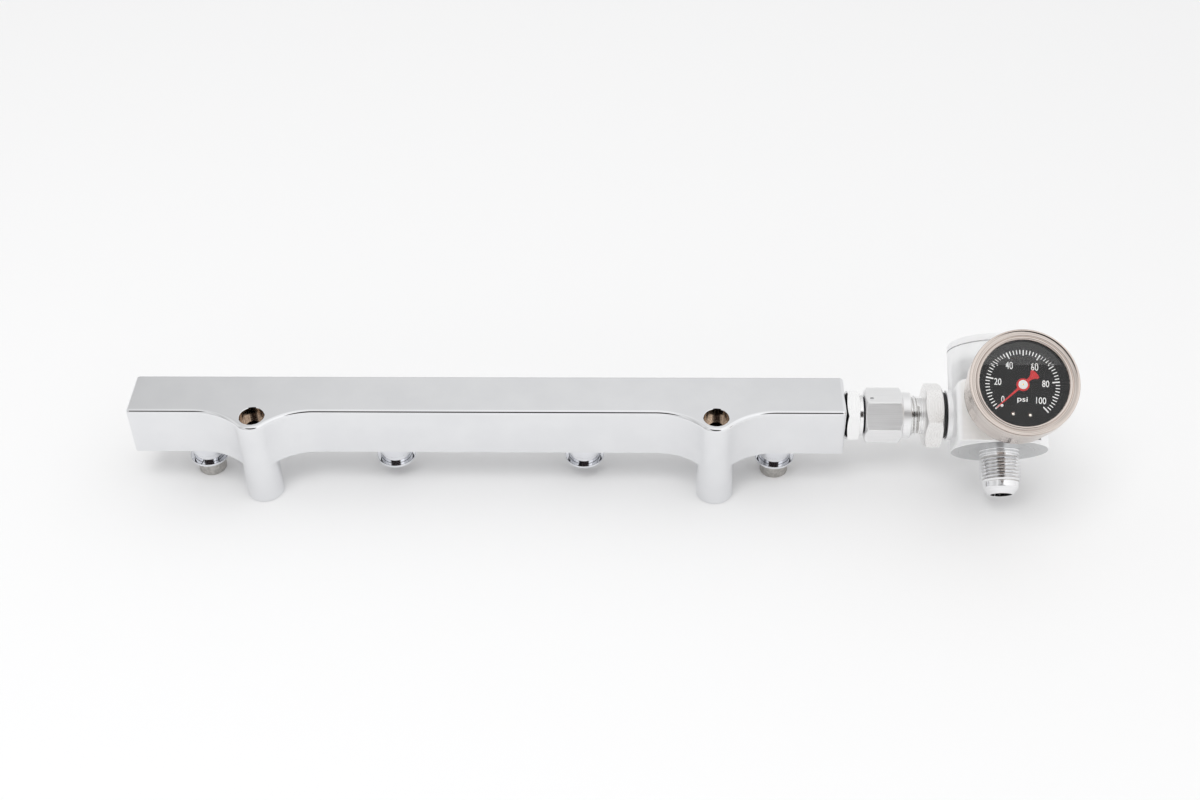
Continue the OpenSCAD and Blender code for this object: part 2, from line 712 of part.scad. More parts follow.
// Slot that the link's pin runs in, along the pin's own travel
module tip_slot(from, to) {
  swing = arm_len * ([cos(arm_dir + sector_swing), sin(arm_dir + sector_swing)]
    - [cos(arm_dir), sin(arm_dir)]);
  run = norm(swing) + 0.1;
  translate([tip_at[0], tip_at[1], from]) rotate([0, 0, atan2(swing[1], swing[0])]) {
    cylinder(r = slot_r, h = to - from);
    translate([0, -slot_r, 0]) cube([run, 2 * slot_r, to - from]);
    translate([run, 0, 0]) cylinder(r = slot_r, h = to - from);
  }
}

// Sweep of the sector for the pointer's 270 degrees
sector_swing = 270 * pinion_teeth / sector_teeth;

// Bar in plan from one point to another
module plan_bar(a, b, w) {
  d = b - a;
  translate(a) rotate([0, 0, atan2(d[1], d[0])]) translate([0, -w / 2]) square([norm(d), w]);
}

// Plan of a movement plate: bearings at the arbor and the sector, and the pillars
module plate_plan() {
  circle(r = 2.6);
  translate(pivot_at) circle(r = 1.9);
  plan_bar([0, 0], pivot_at, 3);
  for (p = pillars) {
    translate(p) circle(r = 1.7);
    plan_bar([0, 0], p, 2.6);
  }
}

module movement_frame() {
  color([0.78, 0.64, 0.34]) gauge_frame() difference() {
    union() {
      translate([0, 0, back_plate_z]) linear_extrude(plate_h) plate_plan();
      translate([0, 0, front_plate_z]) linear_extrude(plate_h) {
        plate_plan();
        for (p = screw_at) {
          translate(p) circle(r = 1.3);
          plan_bar([0, 0], p, 2);
        }
      }
      for (p = pillars) translate([p[0], p[1], back_plate_z + 0.1])
        cylinder(r = 1.3, h = front_plate_z - back_plate_z);
      for (p = screw_at) translate([p[0], p[1], front_plate_z + 0.1])
        cylinder(r = 1.3, h = dial_z - front_plate_z - 0.1);
    }
    translate([0, 0, back_plate_z - eps]) cylinder(r = arbor_r + pivot_gap, h = 20);
    translate([pivot_at[0], pivot_at[1], back_plate_z - eps])
      cylinder(r = arbor_r + pivot_gap, h = 12);
    for (p = screw_at) translate([p[0], p[1], dial_z - 1.6]) cylinder(r = 0.62, h = 2);
  }
}

// Gear teeth in plan: flat-flanked, thinner than half the pitch so that they run free
module teeth_plan(r, dirs, root_w, tip_w) {
  for (a = dirs) rotate([0, 0, a]) polygon([[r - 1.45 * gear_m, -root_w / 2],
    [r + 0.8 * gear_m, -tip_w / 2], [r + 0.8 * gear_m, tip_w / 2],
    [r - 1.45 * gear_m, root_w / 2]]);
}

// Toothed sector with its pivot and the arm that the link pulls
module sector_gear() {
  mesh_dir = pivot_dir - 180;
  step = 360 / sector_teeth;
  low = mesh_dir - sector_swing - 1.5 * step;
  high = mesh_dir + 1.5 * step;
  root = sector_r - 1.35 * gear_m;
  color([0.80, 0.66, 0.36]) gauge_frame() translate([pivot_at[0], pivot_at[1], 0]) {
    translate([0, 0, gear_z]) linear_extrude(gear_h) {
      teeth_plan(sector_r, [for (k = [-9 : 1]) mesh_dir + k * step], 1.28 * gear_m, 0.56 * gear_m);
      difference() {
        intersection() {
          circle(r = root, $fn = 180);
          polygon([[0, 0], 14 * [cos(low), sin(low)],
            14 * [cos((low + high) / 2), sin((low + high) / 2)], 14 * [cos(high), sin(high)]]);
        }
        intersection() {
          difference() {
            circle(r = root - 1.5);
            circle(r = 3.4);
          }
          polygon([[0, 0], 14 * [cos(low + 8), sin(low + 8)], 14 * [cos(high - 8), sin(high - 8)]]);
        }
      }
      circle(r = 1.6);
      plan_bar([0, 0], arm_len * [cos(arm_dir), sin(arm_dir)], 1.5);
      translate(arm_len * [cos(arm_dir), sin(arm_dir)]) circle(r = 1);
    }
    round_bar(arbor_r, back_plate_z + 0.1, front_plate_z + 0.9);
    translate([arm_len * cos(arm_dir), arm_len * sin(arm_dir), 0])
      round_bar(0.4, gear_z - 1.4, gear_z + 0.2);
  }
}

// Link from the sector's arm to the tube's tip
module movement_link() {
  z = gear_z - 1.2;
  h = 0.5;
  color([0.7, 0.7, 0.72]) gauge_frame() {
    difference() {
      translate([0, 0, z]) linear_extrude(h) {
        plan_bar(link_pin, tip_at, 1);
        translate(link_pin) circle(r = 0.9);
        translate(tip_at) circle(r = 0.9);
      }
      translate([link_pin[0], link_pin[1], 0]) round_bar(0.4 + pivot_gap, z - eps, z + h + eps);
    }
    translate([tip_at[0], tip_at[1], 0]) round_bar(0.45, back_plate_z + 0.3, z + 0.1);
  }
}

// Arbor that carries the pointer, with its pinion
module pointer_arbor() {
  step = 360 / pinion_teeth;
  color([0.72, 0.72, 0.74]) gauge_frame() {
    round_bar(arbor_r, back_plate_z + 0.1, pointer_z + 0.3);
    translate([0, 0, gear_z - 0.3]) linear_extrude(gear_h + 0.6) {
      circle(r = pinion_r - 1.4 * gear_m);
      teeth_plan(pinion_r, [for (k = [0 : pinion_teeth - 1]) pivot_dir + (k + 0.5) * step],
        1.16 * gear_m, 0.6 * gear_m);
    }
    round_bar(0.9, front_plate_z - 1.4, front_plate_z - 0.3);
  }
}

// Flat spiral hairspring between the arbor's collet and a stud on the frame
module hairspring() {
  turns = 4;
  steps = 24 * turns;
  first_r = 1.3;
  last_r = 4.6;
  w = 0.14;
  spiral = function (i, side) let (r = first_r + (last_r - first_r) * i / steps + side * w / 2)
    r * [cos(15 * i), sin(15 * i)];
  color([0.6, 0.6, 0.65]) gauge_frame() {
    translate([0, 0, front_plate_z - 1.2]) linear_extrude(0.7) {
      polygon(concat([for (i = [0 : steps]) spiral(i, 1)],
        [for (i = [0 : steps]) spiral(steps - i, -1)]));
      difference() {
        circle(r = 1.3);
        circle(r = 0.9 + pivot_gap);
      }
    }
    translate([last_r, 0, 0]) round_bar(0.45, front_plate_z - 1.4, front_plate_z);
  }
}

// Pointer: a tapered needle, a hub and a flared tail, resting at the dial's zero
module gauge_pointer() {
  h = 0.4;
  color([0.80, 0.10, 0.12]) gauge_frame() rotate([0, 0, zero_dir]) difference() {
    union() {
      translate([0, 0, pointer_z]) linear_extrude(h) {
        circle(r = 2.8);
        polygon([[2, -0.55], [pointer_len, -0.15], [pointer_len, 0.15], [2, 0.55]]);
        polygon([[-2, -0.7], [-4.4, -0.7], [-7, -2.2], [-7.7, -1.2], [-7.9, 0], [-7.7, 1.2],
          [-7, 2.2], [-4.4, 0.7], [-2, 0.7]]);
      }
      round_bar(2, pointer_z + h - 0.1, pointer_z + h + 0.5);
    }
    round_bar(arbor_r + seat_gap, pointer_z - eps, pointer_z + 0.35);
  }
}

rail_body();
injector_cup(0);  // injector_cup_1
injector_cup(1);  // injector_cup_2
injector_cup(2);  // injector_cup_3
injector_cup(3);  // injector_cup_4
cup_plug(0);  // cup_plug_left
cup_plug(3);  // cup_plug_right
rail_adapter();
rail_adapter_o_ring();
swivel_nut();
swivel_wire();
housing_adapter();
housing_adapter_o_ring();
regulator_body();
regulator_cap();
cap_o_ring();
regulator_spring();
diaphragm();
return_seat();
gauge_socket();
gauge_case();
gauge_bezel();
gauge_lens();
lens_gasket();
gauge_dial();
dial_screws();
bourdon_tube();
movement_frame();
sector_gear();
movement_link();
pointer_arbor();
hairspring();
gauge_pointer();
stop_pin();
fill_plug();
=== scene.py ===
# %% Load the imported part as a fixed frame
import math

import bmesh
import bpy
import numpy as np
from mathutils import Matrix, Vector
from mathutils.geometry import delaunay_2d_cdt


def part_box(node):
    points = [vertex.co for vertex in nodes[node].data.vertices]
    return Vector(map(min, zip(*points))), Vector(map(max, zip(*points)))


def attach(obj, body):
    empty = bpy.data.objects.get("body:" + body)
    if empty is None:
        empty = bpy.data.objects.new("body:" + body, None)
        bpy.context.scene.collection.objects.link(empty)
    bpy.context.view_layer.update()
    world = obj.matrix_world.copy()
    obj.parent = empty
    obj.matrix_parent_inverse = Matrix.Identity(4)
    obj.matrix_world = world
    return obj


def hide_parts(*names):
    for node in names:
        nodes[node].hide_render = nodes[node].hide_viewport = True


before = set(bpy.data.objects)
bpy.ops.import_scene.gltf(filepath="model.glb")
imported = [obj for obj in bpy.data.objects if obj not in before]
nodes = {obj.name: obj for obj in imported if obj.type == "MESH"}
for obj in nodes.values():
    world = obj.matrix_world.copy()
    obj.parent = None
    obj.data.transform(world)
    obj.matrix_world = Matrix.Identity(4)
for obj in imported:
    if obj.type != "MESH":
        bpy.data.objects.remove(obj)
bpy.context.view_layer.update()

# %% [markdown]
# The rail is measured in millimetres and Blender works in metres, so every
# shape below is written in millimetres and scaled once, when its mesh is made.
# Places that other pieces depend on are read from the frame's boxes. A Place is
# a local frame, so a fitting can be drawn upright and lie along its real axis.

# %% Places that everything else is built from
MM = 0.001


def box_mm(node):
    """The node's lowest and highest corners in millimetres."""
    low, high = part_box(node)
    return np.array(low) / MM, np.array(high) / MM


class Place:
    """A local frame in millimetres: a point p of it lies at origin + p times the axes."""

    def __init__(self, origin, x, y, z):
        self.origin = np.array(origin, float)
        self.axes = np.array([x, y, z], float)

    def __call__(self, p):
        return self.origin + np.asarray(p, float) @ self.axes

    def turned(self, degrees):
        """The same frame turned about its own third axis."""
        c, s = math.cos(math.radians(degrees)), math.sin(math.radians(degrees))
        x, y, z = self.axes
        return Place(self.origin, c * x + s * y, -s * x + c * y, z)

    def moved(self, x, y=0.0):
        """The same frame moved along its first two axes."""
        return Place(self([x, y, 0]), *self.axes)


rail_low, rail_high = box_mm("rail_body")
BAR_END, BAR_BACK, BAR_TOP = rail_high
BAR_SIDE = 25.4
BAR_FRONT = BAR_BACK - BAR_SIDE
BAR_UNDER = BAR_TOP - BAR_SIDE
AXIS_Y = BAR_BACK - BAR_SIDE / 2
AXIS_Z = BAR_TOP - BAR_SIDE / 2
LEG_X, LEG_R = 106.5, -rail_low[1]
REG_X = np.mean(box_mm("regulator_cap"), 0)[0]
TILT = math.radians(34.5)

OUTLET = np.array([0, -math.cos(TILT), -math.sin(TILT)])
DIAL = np.array([0, -math.sin(TILT), math.cos(TILT)])
HERE = [REG_X, AXIS_Y, AXIS_Z]
UPRIGHT = Place([0, 0, 0], *np.eye(3))
FITTINGS = Place([BAR_END, AXIS_Y, AXIS_Z], [0, 0, -1], [0, 1, 0], [1, 0, 0])
LEFT_PORT = Place([-BAR_END, AXIS_Y, AXIS_Z], [0, 0, 1], [0, 1, 0], [-1, 0, 0])
REGULATOR = Place(HERE, [1, 0, 0], DIAL, OUTLET)
INLET = Place(HERE, -OUTLET, DIAL, [-1, 0, 0])
BLOCK = Place(HERE, [1, 0, 0], -OUTLET, DIAL)
GAUGE = BLOCK.turned(-4.1)
print("bar", 2 * BAR_END, "mm long, regulator axis at x =", round(float(REG_X), 2))

# %% [markdown]
# The camera comes first. A pinhole camera was fitted to corners of the bar, the
# legs, the cups and the gauge, so its place is a measured one. It looks 42
# degrees down from in front, a little to the right of the bar's middle.

# %% Camera
CAMERA_AT = (82.247, -596.079, 598.004)
FOCAL_PIXELS, FRAME_PIXELS, SENSOR = 1781.69, 1200, 36.0
YAW, DOWN, ROLL = 0.047737, 0.735545, -0.029193

aim = Matrix.Rotation(YAW, 3, "Z") @ Matrix.Rotation(math.pi / 2 - DOWN, 3, "X")
aim = aim @ Matrix.Rotation(ROLL, 3, "Z")
link = bpy.context.scene.collection.objects.link
camera = bpy.data.objects.new("camera", bpy.data.cameras.new("camera"))
camera.data.sensor_width = SENSOR
camera.data.lens = FOCAL_PIXELS * SENSOR / FRAME_PIXELS
camera.data.clip_start, camera.data.clip_end = 0.01, 20
camera.matrix_world = Matrix.Translation(Vector(CAMERA_AT) * MM) @ aim.to_4x4()
link(camera)
bpy.context.scene.camera = camera
print("camera lens", round(camera.data.lens, 2), "mm")

# %% [markdown]
# A material is a small network of nodes. These helpers add one node each, so
# that the networks below read as sentences. A number that is the same all over
# a surface is set on the shader itself, because only then is it exported.

# %% Helpers for node networks


def feed(tree, node, values):
    """Give a node's inputs their values: each is a number or another node's output."""
    for socket, value in zip(node.inputs, values):
        if isinstance(value, (int, float)):
            socket.default_value = value
        else:
            tree.links.new(value, socket)
    return node.outputs[0]


def math_node(tree, operation, *values):
    """One sum, product or other operation."""
    node = tree.nodes.new("ShaderNodeMath")
    node.operation = operation
    return feed(tree, node, values)


def ramp(tree, value, stops):
    """A colour ramp: stops are (place, grey or colour)."""
    node = tree.nodes.new("ShaderNodeValToRGB")
    elements = node.color_ramp.elements
    while len(elements) < len(stops):
        elements.new(0.5)
    for element, (place, tone) in zip(elements, stops):
        element.position = place
        element.color = (*(tone if isinstance(tone, tuple) else (tone,) * 3), 1)
    tree.links.new(value, node.inputs[0])
    return node.outputs[0]


def product(tree, a, b):
    """Two colours multiplied."""
    node = tree.nodes.new("ShaderNodeMix")
    node.data_type, node.blend_type = "RGBA", "MULTIPLY"
    node.inputs["Factor"].default_value = 1
    tree.links.new(a, node.inputs["A"])
    tree.links.new(b, node.inputs["B"])
    return node.outputs["Result"]


def join(tree, *values):
    """A vector of three values."""
    return feed(tree, tree.nodes.new("ShaderNodeCombineXYZ"), values)


def split(tree, vector):
    """The three parts of a vector."""
    node = tree.nodes.new("ShaderNodeSeparateXYZ")
    tree.links.new(vector, node.inputs[0])
    return node.outputs


def length(tree, vector):
    """The length of a vector."""
    node = tree.nodes.new("ShaderNodeVectorMath")
    node.operation = "LENGTH"
    tree.links.new(vector, node.inputs[0])
    return node.outputs["Value"]


print("node helpers ready")

# %% [markdown]
# Chrome shows what stands round it more than it shows itself. The photograph
# was taken in a white room, greyer behind the bar and to its left. A dark oval
# above and behind the camera draws the thin dark line along the bar's top edge
# and the dark streak down the outlet. The lamp brightens the floor in front and
# deepens the shadows; hidden from reflections, it draws no bar of its own on the
# chrome. The floor is one sheet of matt paper, 16 metres wide, and where it ends
# the camera sees a plain pale wall.

# %% Studio light and floor


def studio():
    """World: a brightness by height, times one by direction, times a dark oval. The oval
    is where the length of (across, up, away) is under one, and away is zero in front."""
    world = bpy.data.worlds.new("studio")
    world.use_nodes = True
    tree = world.node_tree
    way = tree.nodes.new("ShaderNodeTexCoord").outputs["Generated"]
    x, y, z = split(tree, way)
    height = ramp(tree, z, [(0.0, 0.80), (0.55, 0.91), (0.80, 1.0), (0.88, 1.12), (1.0, 1.15)])
    front = math_node(tree, "MAXIMUM", math_node(tree, "MULTIPLY", y, -1.2), 0.0)
    turn = math_node(tree, "MULTIPLY_ADD", math_node(tree, "ADD", front, x), 0.357, 0.357)
    walls = [(0.06, 0.95), (0.20, 0.70), (0.254, 0.718), (0.286, 0.823), (0.321, 0.867), (0.357, 0.884),
             (0.393, 0.846), (0.52, 1.0), (0.70, 1.15)]
    wall = ramp(tree, turn, walls)
    across = math_node(tree, "MULTIPLY_ADD", x, 2.1, 0.105)
    up = math_node(tree, "MULTIPLY_ADD", z, 4.2, -2.9)
    away = math_node(tree, "MULTIPLY", math_node(tree, "MAXIMUM", y, 0.0), 9.0)
    oval = length(tree, join(tree, across, up, away))
    shade = ramp(tree, oval, [(0.80, (0.026, 0.020, 0.020)), (1.0, 1.0)])
    sky = product(tree, product(tree, height, wall), shade)
    background = tree.nodes["Background"]
    tree.links.new(sky, background.inputs["Color"])
    backdrop = tree.nodes.new("ShaderNodeBackground")
    backdrop.inputs["Color"].default_value = (0.93, 0.93, 0.932, 1)
    seen = tree.nodes.new("ShaderNodeLightPath").outputs["Is Camera Ray"]
    mix = tree.nodes.new("ShaderNodeMixShader")
    mixed = feed(tree, mix, (seen, background.outputs[0], backdrop.outputs[0]))
    tree.links.new(mixed, tree.nodes["World Output"].inputs["Surface"])
    bpy.context.scene.world = world


studio()
mesh = bpy.data.meshes.new("floor")
mesh.from_pydata([(-8, -8, 0), (8, -8, 0), (8, 8, 0), (-8, 8, 0)], [], [(0, 1, 2, 3)])
sheet = bpy.data.objects.new("floor", mesh)
link(sheet)
paper = bpy.data.materials.new("white_paper")
paper.use_nodes = True
shader = paper.node_tree.nodes["Principled BSDF"]
shader.inputs["Base Color"].default_value = (0.91, 0.91, 0.912, 1)
shader.inputs["Roughness"].default_value = 0.85
shader.inputs["Specular IOR Level"].default_value = 0.1
mesh.materials.append(paper)
light = bpy.data.lights.new("overhead", "AREA")
light.shape, light.size, light.energy = "SQUARE", 0.8, 9.0
lamp, lamp_at = bpy.data.objects.new("overhead", light), Vector((-0.2, -0.7, 1.6))
way = Vector((0.05, 0, 0)) - lamp_at
lamp.matrix_world = Matrix.Translation(lamp_at) @ way.to_track_quat("-Z", "Y").to_matrix().to_4x4()
lamp.visible_glossy = False
link(lamp)
bpy.context.scene.view_settings.view_transform = "Standard"
print("studio ready")

# %% [markdown]
# Most finishes here are real processes. Chrome plate is smooth with a few fine
# wipe marks. A turned piece keeps rings that the tool left, so its marks depend
# on the distance from its axis and on the place along it. A milled flat keeps
# long straight lines. All three are one noise read in three ways. The near black
# groove and bore tones, the darker thread roots and the darker turned end face
# are painted shade.

# %% Metal finishes
FINE = 40.0


def marks(tree, kind, place):
    """Coordinates for a finish: even, rings round a place's axis, or lines along it."""
    where = tree.nodes.new("ShaderNodeTexCoord").outputs["Object"]
    mapping = tree.nodes.new("ShaderNodeMapping")
    mapping.vector_type = "TEXTURE"
    mapping.inputs["Location"].default_value = tuple(place.origin * MM)
    mapping.inputs["Rotation"].default_value = Matrix(place.axes.T.tolist()).to_euler()
    tree.links.new(where, mapping.inputs["Vector"])
    local = mapping.outputs[0]
    if kind == "even":
        return local
    x, y, z = split(tree, local)
    parts = [(x, FINE), (y, FINE), (z, 0.6)]
    if kind == "rings":
        parts = [(length(tree, join(tree, x, y, 0.0)), FINE), (z, FINE), (x, 0.5)]
    return join(tree, *[math_node(tree, "MULTIPLY", part, scale) for part, scale in parts])


def blank(name):
    """A material with only a shader: the frame's own of that name, or a new one."""
    material = bpy.data.materials.get(name) or bpy.data.materials.new(name)
    material.use_nodes = True
    tree = material.node_tree
    tree.nodes.clear()
    shader = tree.nodes.new("ShaderNodeBsdfPrincipled")
    output = tree.nodes.new("ShaderNodeOutputMaterial")
    tree.links.new(shader.outputs[0], output.inputs["Surface"])
    return material, tree, shader


def metal(name, tones, rough, kind="even", place=UPRIGHT, scale=90.0, bump=0.02, metallic=1.0):
    """A bare or plated metal: two tones, two roughnesses and a bump share one noise. A
    blasted or anodised one scatters light, so it is only partly metallic."""
    material, tree, shader = blank(name)
    shader.inputs["Metallic"].default_value = metallic
    noise = tree.nodes.new("ShaderNodeTexNoise")
    noise.inputs["Scale"].default_value = scale
    tree.links.new(marks(tree, kind, place), noise.inputs["Vector"])
    value = noise.outputs[0]
    tree.links.new(ramp(tree, value, [(0.35, tones[0]), (0.65, tones[1])]), shader.inputs["Base Color"])
    spread = tree.nodes.new("ShaderNodeMapRange")
    tree.links.new(feed(tree, spread, (value, 0.3, 0.7, *rough)), shader.inputs["Roughness"])
    relief = tree.nodes.new("ShaderNodeBump")
    relief.inputs["Strength"].default_value = bump
    relief.inputs["Distance"].default_value = 0.0002
    tree.links.new(value, relief.inputs["Height"])
    tree.links.new(relief.outputs[0], shader.inputs["Normal"])
    return material


def plain(name, tones, rough, scale=300.0, bump=0.1, painted_glow=0.0, shine=0.0):
    """A paint, rubber or plastic with a fine even grain. White print under glycerine keeps
    less than half its light, because the rest is thrown back at the window, so a print may
    be given a painted glow: its own colour as light. Paint under glycerine has no shine."""
    material = metal(name, tones, rough, scale=scale, bump=bump, metallic=0.0)
    shader = next(node for node in material.node_tree.nodes if node.type == "BSDF_PRINCIPLED")
    shader.inputs["Emission Color"].default_value = (*tones[1], 1)
    shader.inputs["Emission Strength"].default_value = painted_glow
    shader.inputs["Specular IOR Level"].default_value = shine
    return material


CHROME = metal("chrome_bar", ((0.800, 0.806, 0.822), (0.826, 0.832, 0.846)), (0.02, 0.05), scale=60,
               bump=0.01)
CUP = metal("turned_cup", ((0.80, 0.81, 0.84), (0.86, 0.87, 0.90)), (0.04, 0.10))
# Painted shade: near black for the cup grooves and the gap behind the rail adapter's shoulder.
GROOVE_SHADE = metal("painted_groove_shade", ((0.010, 0.010, 0.014), (0.035, 0.035, 0.045)), (0.2, 0.4), scale=200)
PORE = metal("plated_bore", ((0.46, 0.38, 0.32), (0.78, 0.69, 0.60)), (0.10, 0.24), "lines", scale=60,
             bump=0.05)
# Painted shade: near black for the upper part of each counterbore's wall.
BORE_SHADE = metal("painted_bore_shade", ((0.020, 0.012, 0.010), (0.10, 0.06, 0.05)), (0.15, 0.3), "lines", scale=60,
              bump=0.05)
PLUG = metal("plug_grey", ((0.42, 0.41, 0.39), (0.58, 0.56, 0.54)), (0.34, 0.50), scale=700, bump=0.15)
BRIGHT = metal("bright_fitting", (0.88, 0.95), (0.10, 0.20), "rings", FITTINGS, bump=0.06)
SATIN = metal("satin_nut", ((0.90, 0.90, 0.905), (0.96, 0.96, 0.965)), (0.34, 0.48), "lines", FITTINGS,
              bump=0.06)
HOUSING = metal("polished_housing", ((0.92, 0.925, 0.93), (0.96, 0.96, 0.965)), (0.36, 0.46), scale=160,
                metallic=0.45)
BLASTED = metal("blasted_face", ((0.93, 0.935, 0.94), (0.97, 0.97, 0.975)), (0.50, 0.60), scale=400,
                bump=0.1, metallic=0.3)
# Painted shade: the barrel's turned end face, which faces down, is painted darker.
FACE_SHADE = metal("faced_end_painted_shade", ((0.60, 0.605, 0.61), (0.68, 0.685, 0.69)), (0.26, 0.36), "rings", REGULATOR)
# Painted shade: a darker tone for thread roots, where little light gets down.
ROOT_SHADE = metal("painted_root_shade", ((0.44, 0.43, 0.42), (0.62, 0.61, 0.60)), (0.16, 0.30), scale=200)
POLISHED = metal("polished_thread", ((0.84, 0.84, 0.85), (0.90, 0.90, 0.91)), (0.05, 0.10), "rings",
                 REGULATOR)
HEX = metal("brushed_hexagon", ((0.80, 0.79, 0.78), (0.97, 0.965, 0.96)), (0.26, 0.42), "rings", FITTINGS,
            bump=0.12)
STEEL = metal("warm_stainless", ((0.54, 0.47, 0.43), (0.76, 0.69, 0.64)), (0.09, 0.19), "rings", GAUGE,
              bump=0.06)
BRASS = metal("brass", ((0.70, 0.50, 0.22), (0.85, 0.66, 0.34)), (0.15, 0.30), "rings", GAUGE)
SPRING = metal("spring_steel", ((0.40, 0.40, 0.42), (0.60, 0.60, 0.62)), (0.15, 0.30))
RUBBER = plain("black_rubber", ((0.010, 0.010, 0.011), (0.022, 0.022, 0.024)), (0.45, 0.65), shine=0.5)
print(len(bpy.data.materials), "materials so far")

# %% [markdown]
# Each new surface is a grid of points: a function of two parameters, worked out
# as whole arrays. One helper turns a grid into quads, another merges doubled
# points and turns the faces outwards. Large flats would look bent beside small
# roundings, so a modifier weights the normals by the size of the faces.

# %% Turn grids of points into meshes
ROUND, SHARP, WELD = 96, math.radians(34), 2e-6


def quads(rows, columns, wrap=True):
    """Faces of a grid of rows x columns points; wrap joins the last column to the first."""
    i = np.arange(rows - 1)[:, None]
    j = np.arange(columns if wrap else columns - 1)[None, :]
    a, b = i * columns + j, i * columns + (j + 1) % columns
    return np.stack([a, b, b + columns, a + columns], -1)


def surface(name, parts):
    """An object with a welded mesh of (points in mm, faces) pairs."""
    points, faces, count = [], [], 0
    for p, f in parts:
        faces += (f + count).reshape(-1, f.shape[-1]).tolist()
        points.append(p.reshape(-1, 3))
        count += len(points[-1])
    mesh = bpy.data.meshes.new(name)
    mesh.from_pydata((np.concatenate(points) * MM).tolist(), [], faces)
    tidy(mesh)
    piece = bpy.data.objects.new(name, mesh)
    link(piece)
    return piece


def shade(mesh):
    """Smooth shading with an edge wherever the faces meet at more than the sharp angle."""
    mesh.shade_smooth()
    mesh.set_sharp_from_angle(angle=SHARP)


def make(name, parts, material, node=None, body="root", slot=None):
    """A finished piece that rides on a body and may stand in a node's stead."""
    piece = surface(name, parts)
    shade(piece.data)
    piece.data.materials.append(material)
    normals = piece.modifiers.new("flat faces", "WEIGHTED_NORMAL")
    normals.weight, normals.keep_sharp = 100, True
    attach(piece, body)
    if node:
        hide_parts(node)
    return piece


def zone(place, low, high, near=-1.0, far=99.0):
    """A test for points: between two heights on a place's axis and two distances from it."""

    def inside(p):
        local = (p - place.origin) @ place.axes.T
        r = np.hypot(local[:, 0], local[:, 1])
        return (local[:, 2] > low) & (local[:, 2] < high) & (r > near) & (r < far)

    return inside


def read(items, key, kind, width):
    """One attribute of all vertices, edges or faces, with a row for each."""
    values = np.empty(len(items) * width, kind)
    items.foreach_get(key, values)
    return values.reshape(-1, width)


def paint(piece, material, *zones):
    """Give one more material to the faces whose middles lie in one of the zones."""
    mesh = piece.data
    mesh.materials.append(material)
    middle = read(mesh.polygons, "center", float, 3) / MM
    index = read(mesh.polygons, "material_index", np.int32, 1).ravel()
    for inside in zones:
        index[inside(middle)] = len(mesh.materials) - 1
    mesh.polygons.foreach_set("material_index", index)


def crisp(piece, height):
    """Mark the edges that lie at one height as sharp, so that the flat there keeps its normal."""
    mesh = piece.data
    level = np.abs(read(mesh.vertices, "co", float, 3)[:, 2] / MM - height) < 0.001
    ends = read(mesh.edges, "vertices", np.int32, 2)
    sharp = read(mesh.edges, "use_edge_sharp", bool, 1).ravel()
    mesh.edges.foreach_set("use_edge_sharp", sharp | level[ends].all(1))


def tidy(mesh):
    """Merge doubled points, join the pieces of a flat and turn the faces outwards."""
    work = bmesh.new()
    work.from_mesh(mesh)
    bmesh.ops.remove_doubles(work, verts=work.verts, dist=WELD)
    bmesh.ops.dissolve_degenerate(work, edges=work.edges, dist=WELD)
    bmesh.ops.dissolve_limit(work, angle_limit=0.001, verts=work.verts, edges=work.edges)
    bmesh.ops.recalc_face_normals(work, faces=work.faces)
    work.to_mesh(mesh)
    work.free()
    mesh.update()


print("a turned piece has", ROUND, "points round it")

# %% [markdown]
# Most pieces here are turned on a lathe, and such a piece is one profile and one
# full turn. A lathe tool breaks every edge, so a profile's corners are softened
# first. A milled flat is an outline with round holes. A triangulation fills it,
# and what lies inside a hole is dropped.

# %% Profiles, turns and flats


def around(start=0.0, count=ROUND):
    """Angles of a full turn in degrees, the last one just before the first."""
    return start + np.arange(count) * 360.0 / count


FULL = around()


def sweep(r, z, angles, place, wrap=True):
    """Rows of points (r cos t, r sin t, z) round a place's third axis, and their faces."""
    t = np.radians(angles)
    r, z = r + 0 * t, z + 0 * t
    return place(np.stack([r * np.cos(t), r * np.sin(t), z], -1)), quads(len(r), len(t), wrap)


def revolve(profile, place, angles=FULL):
    """Surface of revolution: each point (r, z) of a profile goes once round."""
    r, z = np.array(profile, float).T[:, :, None]
    return sweep(r, z, angles, place)


def soften(profile, radius=0.3, steps=4, closed=False):
    """Rounds the corners of a profile: each corner b between a and c becomes the curve
    (1-t)^2 s + 2t(1-t) b + t^2 e, where s and e lie on its two sides."""
    p = np.array(profile, float)
    p = np.concatenate([p[-1:], p, p[:1]]) if closed else p
    a, b, c = p[:-2], p[1:-1], p[2:]
    to_a, to_c = a - b, c - b
    far_a, far_c = np.linalg.norm(to_a, axis=1), np.linalg.norm(to_c, axis=1)
    reach = np.minimum(radius, 0.48 * np.minimum(far_a, far_c))[:, None]
    s, e = b + to_a / far_a[:, None] * reach, b + to_c / far_c[:, None] * reach
    t = np.linspace(0, 1, steps + 1)[None, :, None]
    curve = (1 - t) ** 2 * s[:, None] + 2 * t * (1 - t) * b[:, None] + t**2 * e[:, None]
    curve = curve.reshape(-1, 2)
    return np.concatenate([curve, curve[:1]]) if closed else np.concatenate([p[:1], curve, p[-1:]])


def disc(r, low, high, radius):
    """The profile of a cylinder with softened rims."""
    return soften([(0, low), (r, low), (r, high), (0, high)], radius)


